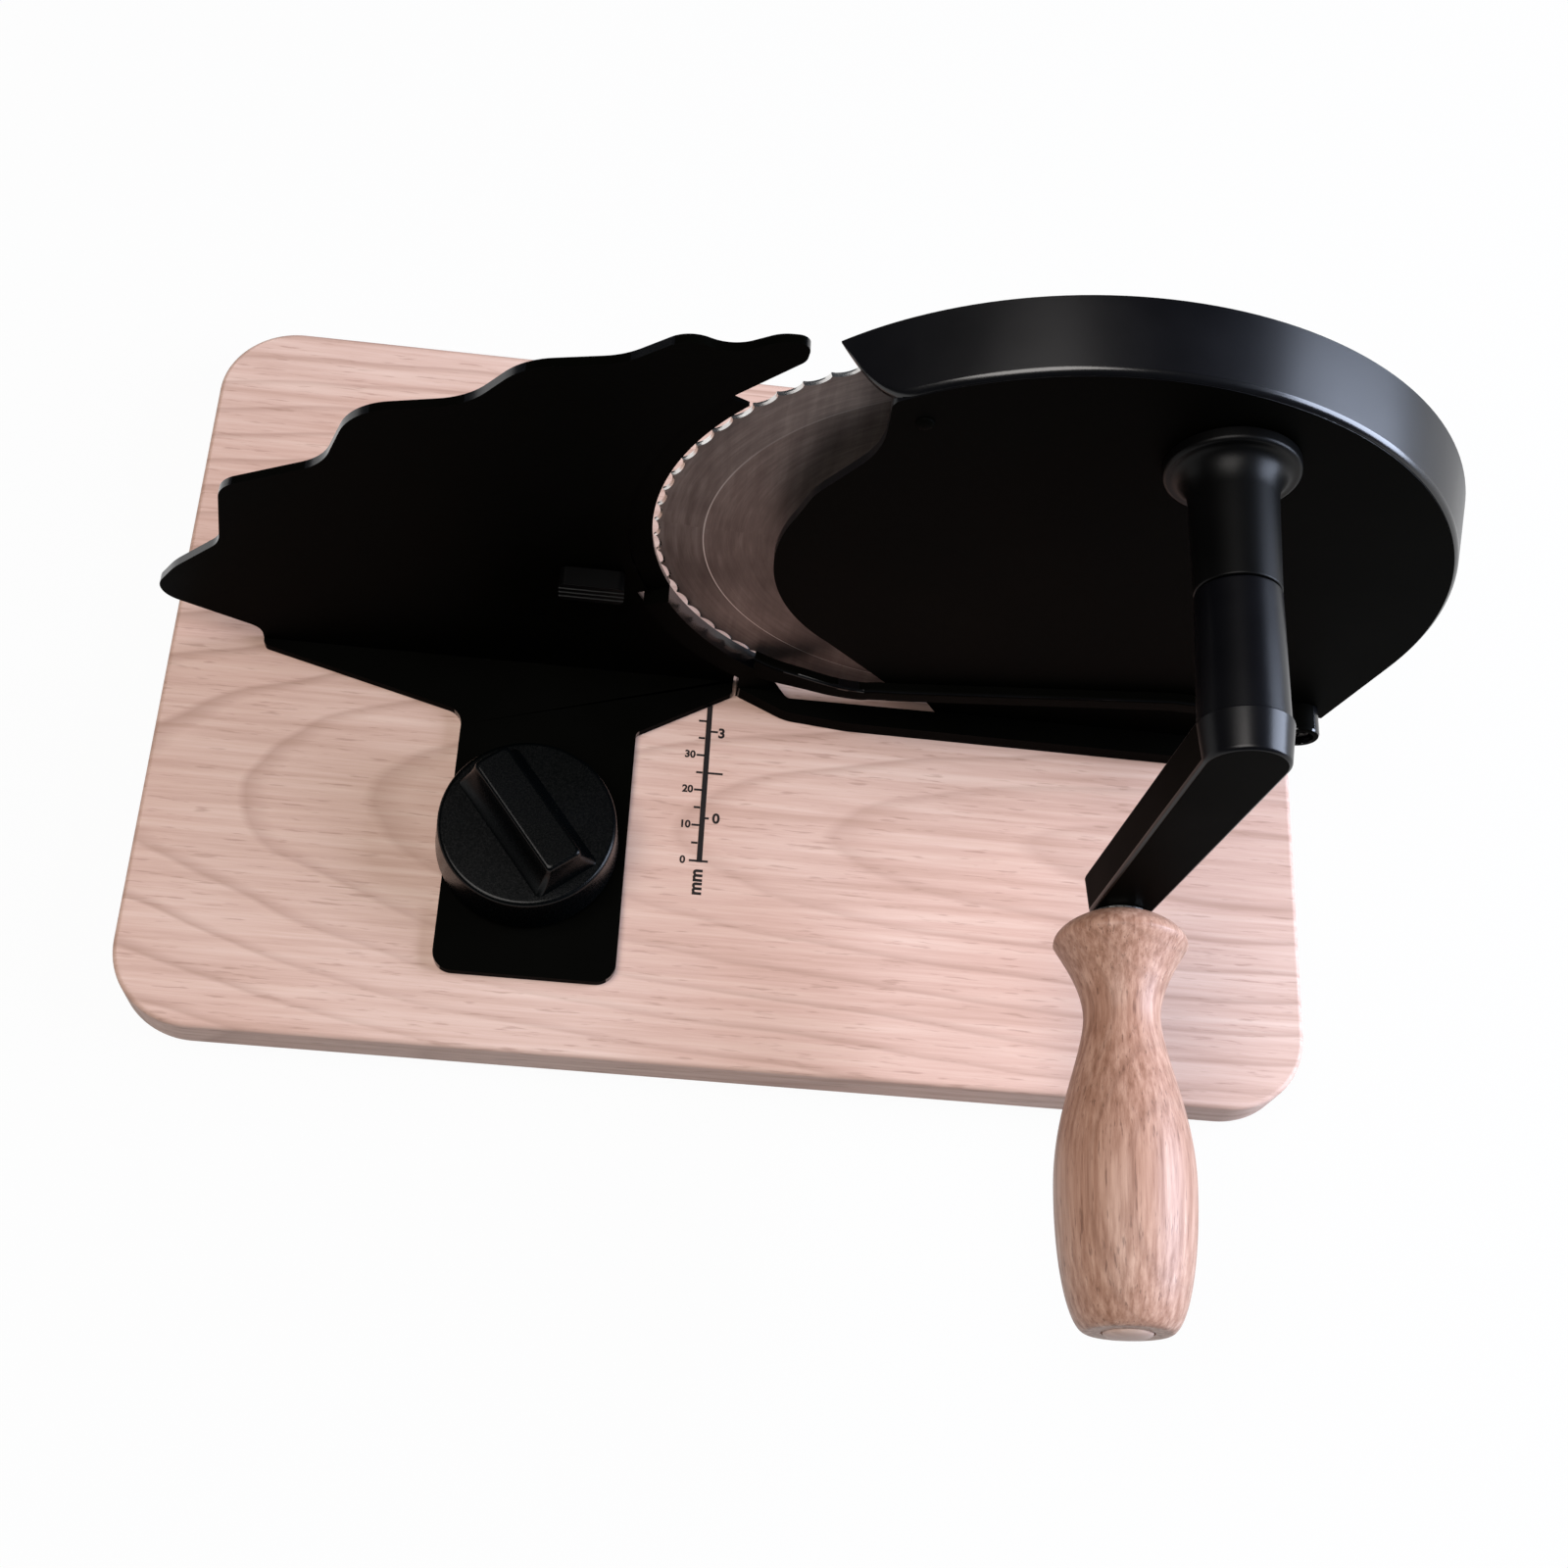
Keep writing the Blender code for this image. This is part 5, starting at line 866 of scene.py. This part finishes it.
def armSection(inset, y):
    lean = math.degrees(math.asin((arm["headRadius"] - arm["endRadius"]) / arm["length"]))
    points = arc((0, 0), arm["headRadius"] - inset, -lean, 180 + lean, 4)
    points += arc((0, -arm["length"]), arm["endRadius"] - inset, 180 + lean, 360 - lean, 4)
    return [(crankX + a * armCos + b * armSin, y, crankZ - a * armSin + b * armCos) for a, b in points]


def flatArm(side):                     # the arm's flat face and sides are matt, its head and edges aren't
    hanging = abs(side.normal.y) < 0.12 and side.center.z < (crankZ - 12) * mm
    return 0 if side.normal.y < -0.93 or hanging else 1


def makeArm():
    edge, headEnd = arm["edge"], sleeve["endRadius"]
    sections = [armSection(arm["draft"] + inset, armFront + depth)
                for inset, depth in curve((edge, edge), edge, edge, 270, 180, 6)]
    sections += [armSection(0.05, armBack - 0.5), armSection(0.15, armBack - 0.15), armSection(0.5, armBack)]
    crank = meshObject("crankArm", lofted(sections))
    profile = [(headEnd - 0.5, headBack), (headEnd - 0.12, headBack - 0.2), (headEnd, headBack - 0.6),
               (arm["headRadius"] - 0.7, armBack - 1), (arm["headRadius"] - 2.5, armFront + 3)]
    join(crank, turned(profile, "Y", 96, crankAxis))
    drill(crank, "Y", crankAxis, arm["shaftRoom"], armFront + 10, headBack + 1, 40)
    drill(crank, "Z", (crankX, headBack - 14), arm["screwRoom"], crankZ - 17, crankZ - 4, 28)
    drill(crank, "Y", handleAxis, arm["pinRoom"], armFront - 1, armBack + 1, 32)
    finishPiece(crank, "crank", [mattEnamel, castEnamel], ["crank_arm"], 32.0, pick=flatArm)


def makePinHead():
    profile = [(0, armBack + 2.2)] + curve((0, armBack + 0.9), 6, 1.1, 66, 6, 5)
    profile += [(6, armBack + 0.3), (3.5, armBack + 0.3), (3.5, armFront - 60), (0, armFront - 60)]
    pin = meshObject("rivetedPin", turned(profile, "Y", 48, handleAxis))
    finishPiece(pin, "crank", [turnedSteel], ["handle_pin"])


makeSleeve()
makeArm()
makePinHead()
print("crank done")


# Handle: turned beech with a flared ring, a slim neck, a belly and a pale plug

handle = {"length": 111.7, "cap": 8.8, "ring": 18.3, "neck": 10.3, "belly": 18.6, "end": 10.6, "plug": 6.5,
          "gap": 1.3, "bore": 3.8, "plugDepth": 9.0, "plugRise": 1.4}


def makeHandle():
    size, plugRadius, bore = handle["length"], handle["plug"], handle["bore"]
    spans = [(0.072 * size, handle["ring"], 14, lambda t: math.sin(math.pi * t / 2) ** 0.75),
             (0.26 * size, handle["neck"], 18, lambda t: math.sin(math.pi * t / 2)),
             (0.67 * size, handle["belly"], 24, lambda t: (1 - math.cos(math.pi * t ** 0.78)) / 2),
             (size, handle["end"], 24, lambda t: 1 - math.sqrt(1 - t * t))]
    points = [(handle["cap"], 0.0)]
    for stop, radius, steps, ease in spans:
        fromRadius, start = points[-1]
        for k in range(1, steps + 1):
            t = math.sin(math.pi / 2 * k / steps) if radius == handle["end"] else k / steps
            points.append((fromRadius + (radius - fromRadius) * ease(t), start + (stop - start) * t))
    begin = armFront - handle["gap"]
    finish = begin - size
    well = finish + handle["plugDepth"]
    profile = [(radius, begin - along) for radius, along in points]
    profile += [(plugRadius + 0.5, finish), (plugRadius + 0.3, finish + 0.3), (plugRadius + 0.3, well),
                (bore, well), (bore, begin)]
    grip = meshObject("turnedHandle", turned(profile, "Y", 96, handleAxis, hollow=True))
    finishPiece(grip, "handle", [handleBeech], ["handle_grip"], 45.0)
    dome = [(0, well - seatGap), (plugRadius, well - seatGap), (plugRadius, finish)]
    dome += [(plugRadius * math.cos(math.radians(15 * k)) ** 0.8 if k < 6 else 0,
              finish - handle["plugRise"] * math.sin(math.radians(15 * k))) for k in range(1, 7)]
    plug = meshObject("handlePlug", turned(dome, "Y", 64, handleAxis))
    finishPiece(plug, "handle", [plugBeech], ["handle_plug"])


makeHandle()
print("handle done")


# Stop plate with its shoe, and the ribbed catch

stop = {"front": 4.0, "thickness": 2.6, "left": -181.0, "lip": 93.35, "inner": 100.2, "guardSide": 103.4,
        "lipAngle": 140.5, "armAngle": 202.3, "fingerAngle": 123.4, "fingerRadius": 107.0,
        "lipThickness": 1.35, "shoeLeft": -87.0, "shoeRight": -32.5, "shoeFront": -100.0, "shoeHeight": 3.0,
        "wingLeft": -151.0, "wingRight": -3.2, "wingDepth": 17.0, "boltRoom": 3.3, "boltY": -58.0,
        "soft": 0.85}
# The wavy edge: share of the plate's length, share of its height, and rounding
crests = [(-0.006, 0.150, 10), (0.045, 0.235, 30), (0.130, 0.328, 12), (0.150, 0.494, 10),
          (0.315, 0.585, 18), (0.366, 0.731, 20), (0.534, 0.778, 24), (0.612, 0.880, 22),
          (0.749, 0.914, 22), (0.832, 0.984, 9), (0.893, 0.960, 12), (0.955, 0.999, 10),
          (0.997, 1, 4.5), (0.994, 0.962, 4.5)]


def plateOutline():
    innerArc = arc(bladeAxis, stop["inner"], stop["lipAngle"], stop["armAngle"], 1.2)
    lowEnd = 180 + math.degrees(math.acos((axisX - stop["wingRight"]) / stop["guardSide"]))
    guardArc = arc(bladeAxis, stop["guardSide"], stop["armAngle"], lowEnd, 1.2)
    cos, sin = direction(stop["fingerAngle"])
    span = axisX + stop["fingerRadius"] * cos - stop["left"]
    rise = axisZ + stop["fingerRadius"] * sin - boardTop
    wave = rounded([(stop["left"] + span * a, boardTop + rise * b, r) for a, b, r in crests]
                   + [(innerArc[0][0], innerArc[0][1], 0), (stop["wingRight"], footLevel, 0),
                      (stop["wingLeft"], footLevel, 2), (stop["wingLeft"], boardTop + 10, 6)], 4)
    split = wave.index((innerArc[0][0], innerArc[0][1]))
    return wave[:split] + innerArc + guardArc + wave[split + 1:]


def makeStop():
    front = stop["front"]
    back = front + stop["thickness"]
    plate = meshObject("stopPlate", prism(plateOutline(), "Y", front, back))
    lip = arc(bladeAxis, stop["lip"], stop["lipAngle"], stop["armAngle"], 1.2)
    lip += arc(bladeAxis, stop["inner"] + 1.5, stop["armAngle"], stop["lipAngle"] + 1, 1.2)
    lipBack = back - 0.05
    join(plate, prism(lip, "Y", lipBack - stop["lipThickness"], lipBack))
    left, right, depth = stop["shoeLeft"], stop["shoeRight"], stop["wingDepth"]
    shoe = [(stop["wingLeft"], front + 1, 0), (stop["wingLeft"], 2, 4), (left, 2 - depth, 6),
            (left, stop["shoeFront"], 6), (right, stop["shoeFront"], 6), (right, -depth, 2),
            (stop["wingRight"], 0, 1), (stop["wingRight"], front + 1, 0)]
    join(plate, prism(rounded(shoe), "Z", footLevel + 0.05, footLevel + stop["shoeHeight"]))
    drill(plate, "Z", (board["slotX"], stop["boltY"]), stop["boltRoom"], footLevel - 1, footLevel + 4, 32)
    soften(plate, stop["soft"])
    finishPiece(plate, "stop", [mattEnamel, enamel], ["stop_plate"], pick=flatFace)


catch = {"back": 3.7, "depth": 6.0, "corner": 2.0, "ribs": 4, "groove": 1.0, "grooveHalf": 1.4, "soft": 0.22}


def makeCatch():
    boxLow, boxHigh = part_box("stop_catch")
    left, right = (boxLow.x - middleX) / mm, (boxHigh.x - middleX) / mm
    low, high, back = boxLow.z / mm, boxHigh.z / mm, catch["back"]
    front = back - catch["depth"]
    outline = oblong(left, right, low, high, catch["corner"])
    block = meshObject("ribbedCatch", prism(outline, "Y", front, back))
    grooves = bmesh.new()
    for k in range(1, catch["ribs"]):
        z, half = low + k * (high - low) / catch["ribs"], catch["grooveHalf"]
        outline = [(front + catch["groove"], z), (front - 2, z - half), (front - 2, z + half)]
        lofted([[(x, y, height) for y, height in outline] for x in (left - 1, right + 1)], mesh=grooves)
    cutOut(block, grooves)
    soften(block, catch["soft"], 2)
    finishPiece(block, "stop", [ribEnamel], ["stop_catch"])


makeStop()
makeCatch()
print("stop done")


# Clamp knob: a round disc with a flared grip bar

knob = {"x": -62.5, "y": -58.0, "radius": 27.6, "draft": 1.0, "low": 24.9, "height": 16.0,
        "gripLength": 41.0, "gripWidth": 11.8, "flare": 4.6, "gripHeight": 11.0, "angle": -52.0,
        "round": 1.5, "gripRound": 1.2, "gripCorner": 1.6, "insertRoom": 6.3}


def makeKnob():
    low, top, radius = knob["low"], knob["low"] + knob["height"], knob["radius"]
    edge, rim, middle = knob["round"], radius - knob["draft"], (knob["x"], knob["y"])
    profile = [(0, low), (radius - 1, low), (radius - 0.2, low + 0.3), (radius, low + 1)]
    profile += curve((rim - edge, top - edge), edge, edge, 0, 90, 6) + [(0, top)]
    disc = meshObject("clampKnob", turned(profile, "Z", 120, middle))
    cos, sin = direction(knob["angle"])
    rise, edge = knob["gripHeight"], knob["gripRound"]
    stations = [(-0.8, 1.0, 0.0)]      # height, share of the flare, inset
    stations += [(rise * k / 14, (1 - k / 14) ** 1.9, 0.0) for k in range(13)]
    stations += [(z, 0.0, edge - a) for a, z in curve((0, rise - edge), edge, edge, 0, 90, 6)]
    sections = []
    for z, share, inset in stations:
        a = knob["gripLength"] / 2 + 0.4 * knob["flare"] * share - inset
        b = knob["gripWidth"] / 2 + knob["flare"] * share - inset
        sections.append([(knob["x"] + x * cos - y * sin, knob["y"] + x * sin + y * cos, top + z)
                         for x, y in oblong(-a, a, -b, b, knob["gripCorner"], 15)])
    join(disc, lofted(sections))
    drill(disc, "Z", middle, knob["insertRoom"], low - 1, top - 1, 48)
    finishPiece(disc, "knob", [phenolic], ["clamp_knob"])


makeKnob()
print("knob done")


# Graduation: printed line, ticks and plain numbers beside the stop's foot

scale = {"x": -9.7, "top": -2.5, "bottom": -57.5, "step": 6.0, "count": 9, "line": 1.7, "tick": 0.7,
         "short": 2.0, "long": 2.6, "lift": 0.05, "figure": 3.4, "unit": 5.6}
printLow = boardTop + 0.01


def tickTree():
    tree, given, end = startTree("graduationTicks", {
        "Count": 11, "Step": (0, 0.0055, 0), "Start": (0, 0, 0), "Short": (0.003, 0.0007, 0.0001),
        "Long": (0.0045, 0.0007, 0.0001), "Every": 2, "Material": None})
    line = addNode(tree, "GeometryNodeMeshLine", {"Count": given["Count"], "Start Location": given["Start"],
                                                  "Offset": given["Step"]})
    block = addNode(tree, "GeometryNodeMeshCube", {"Size": (1, 1, 1)})
    index = addNode(tree, "GeometryNodeInputIndex")
    rest = calc(tree, "MODULO", index.outputs[0], given["Every"])
    isShort = addNode(tree, "FunctionNodeCompare", {0: rest, 1: 0.5}, operation="GREATER_THAN")
    size = addNode(tree, "GeometryNodeSwitch", {"Switch": isShort.outputs[0], "False": given["Long"],
                                                "True": given["Short"]}, input_type="VECTOR")
    shown = addNode(tree, "GeometryNodeInstanceOnPoints", {
        "Points": line.outputs["Mesh"], "Instance": block.outputs["Mesh"], "Scale": size.outputs[0]})
    endTree(tree, shown.outputs[0], given, end)
    return tree


def figures(mesh, text, size, x, y, turn=0.0):
    font = bpy.data.curves.new("figure", "FONT")
    font.body, font.size, font.offset = text, size, 0.035 * size
    font.extrude = scale["lift"] / 2
    font.align_x = font.align_y = "CENTER"
    thing = bpy.data.objects.new("figure", font)
    bpy.context.scene.collection.objects.link(thing)
    bpy.context.view_layer.update()
    data = bpy.data.meshes.new_from_object(thing.evaluated_get(bpy.context.evaluated_depsgraph_get()))
    bpy.data.objects.remove(thing)
    data.transform(Matrix.Translation((x, y, printLow + scale["lift"] / 2))
                   @ Matrix.Rotation(math.radians(turn), 4, "Z"))
    mesh.from_mesh(data)
    bpy.data.meshes.remove(data)


def printedBar(mesh, left, right, low, high):
    prism(oblong(left, right, low, high), "Z", printLow, printLow + scale["lift"], mesh)


def makeScale():
    lift, tick, x = scale["lift"], scale["tick"], scale["x"]
    left, right, first = x - scale["line"] / 2, x + scale["line"] / 2, scale["bottom"] + 0.4
    ticks = applyTree("scaleTicks", tickTree(), {
        "Count": scale["count"], "Step": (0, scale["step"] * mm, 0),
        "Start": tuple(spot(left - 1.1, first, printLow + lift / 2)),
        "Short": (scale["short"] * mm, tick * mm, lift * mm),
        "Long": (scale["long"] * mm, tick * mm, lift * mm), "Every": 2, "Material": ink})
    finishPiece(ticks, "root", [ink], placed=True)
    mesh = bmesh.new()
    printedBar(mesh, left, right, scale["bottom"], scale["top"])
    for rise, reach in ((30.0, 4.6), (44.5, 2.2), (14.5, 1.2), (0.0, 1.8)):
        printedBar(mesh, right, right + reach, first + rise - tick / 2, first + rise + tick / 2)
    for k, text in enumerate(("0", "10", "20", "30")):
        figures(mesh, text, scale["figure"], left - 4.4, first + 2 * k * scale["step"])
    for text, rise in (("3", 44.0), ("0", 14.5)):
        figures(mesh, text, scale["figure"] * 1.35, right + 3.4, first + rise)
    figures(mesh, "mm", scale["unit"], x - 0.6, scale["bottom"] - 6.6, 90)
    finishPiece(meshObject("scaleMarks", mesh), "root", [ink])


makeScale()
print("graduation done")


# The nodes that keep their own shape

kept = {zincSteel: ["clamp_track", "clamp_bolt", "clamp_washer", "catch_rivet_1", "catch_rivet_2",
                    "sleeve_screw_1", "sleeve_screw_2", "sleeve_screw_3", "pinion_clip", "idler_clip",
                    "pin_washer"],
        turnedSteel: ["blade_axle", "crank_shaft", "idler_pin", "lock_screw"],
        nylon: ["blade_gear", "crank_pinion", "idler_gear"],
        bronze: ["front_bush", "rear_bush", "blade_bush"], brass: ["knob_insert"]}
for material, nodes in kept.items():
    for node in nodes:
        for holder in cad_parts[node].material_slots:
            holder.material = material


# Floor, light and camera

studio = {"world": "#9aa0a8", "worldStrength": 0.16, "floor": "#b4b3b2", "floorGlow": 0.96}


def makeFloor():
    mesh = bmesh.new()
    bmesh.ops.create_grid(mesh, x_segments=1, y_segments=1, size=4.0)
    floor = meshObject("floor", mesh)
    floor.location.z = -0.0002
    material = bpy.data.materials.new("whiteFloor")
    material.use_nodes = True
    tree = material.node_tree
    shader = tree.nodes["Principled BSDF"]
    shader.inputs["Base Color"].default_value = linear(studio["floor"])
    shader.inputs["Roughness"].default_value = 0.9
    shader.inputs["Specular IOR Level"].default_value = 0.0
    path = addNode(tree, "ShaderNodeLightPath").outputs
    seen = calc(tree, "MAXIMUM", path["Is Camera Ray"], path["Is Glossy Ray"])
    seen = calc(tree, "MAXIMUM", seen, path["Is Transmission Ray"])
    share = calc(tree, "MULTIPLY", seen, studio["floorGlow"])
    glow = addNode(tree, "ShaderNodeEmission", {"Color": (1, 1, 1, 1), "Strength": 1.0})
    surface = addNode(tree, "ShaderNodeMixShader", {0: share, 1: shader.outputs[0], 2: glow.outputs[0]})
    tree.links.new(surface.outputs[0], tree.nodes["Material Output"].inputs["Surface"])
    floor.data.materials.append(material)


def softLight(name, place, target, side, power, colour):
    data = bpy.data.lights.new(name, "AREA")
    data.shape = "RECTANGLE"
    data.size = data.size_y = side
    data.energy = power
    data.color = linear(colour)[:3]
    thing = bpy.data.objects.new(name, data)
    bpy.context.scene.collection.objects.link(thing)
    thing.location = place
    thing.rotation_euler = (Vector(target) - Vector(place)).to_track_quat("-Z", "Y").to_euler()


makeFloor()
world = bpy.data.worlds.new("studio")
bpy.context.scene.world = world
world.use_nodes = True
background = world.node_tree.nodes["Background"]
background.inputs["Color"].default_value = linear(studio["world"])
background.inputs["Strength"].default_value = studio["worldStrength"]
softLight("keyRight", (1.1, 0.05, 0.6), (0.05, 0.0, 0.08), 0.8, 36.0, "#dbe7ff")
softLight("topFill", (-0.42, -0.2, 1.45), (0.0, 0.0, 0.0), 0.9, 21.0, "#fffaf6")

camera = bpy.data.objects.new("camera", bpy.data.cameras.new("camera"))
bpy.context.scene.collection.objects.link(camera)
camera.location = (-0.0436195, -0.258749, 0.6137606)
camera.rotation_euler = (0.4232, -0.1118, 0.0488)
camera.data.sensor_width = 36
camera.data.lens = 47.742
camera.data.clip_start = 0.01
bpy.context.scene.camera = camera
bpy.context.scene.view_settings.view_transform = "Standard"
print("studio done")
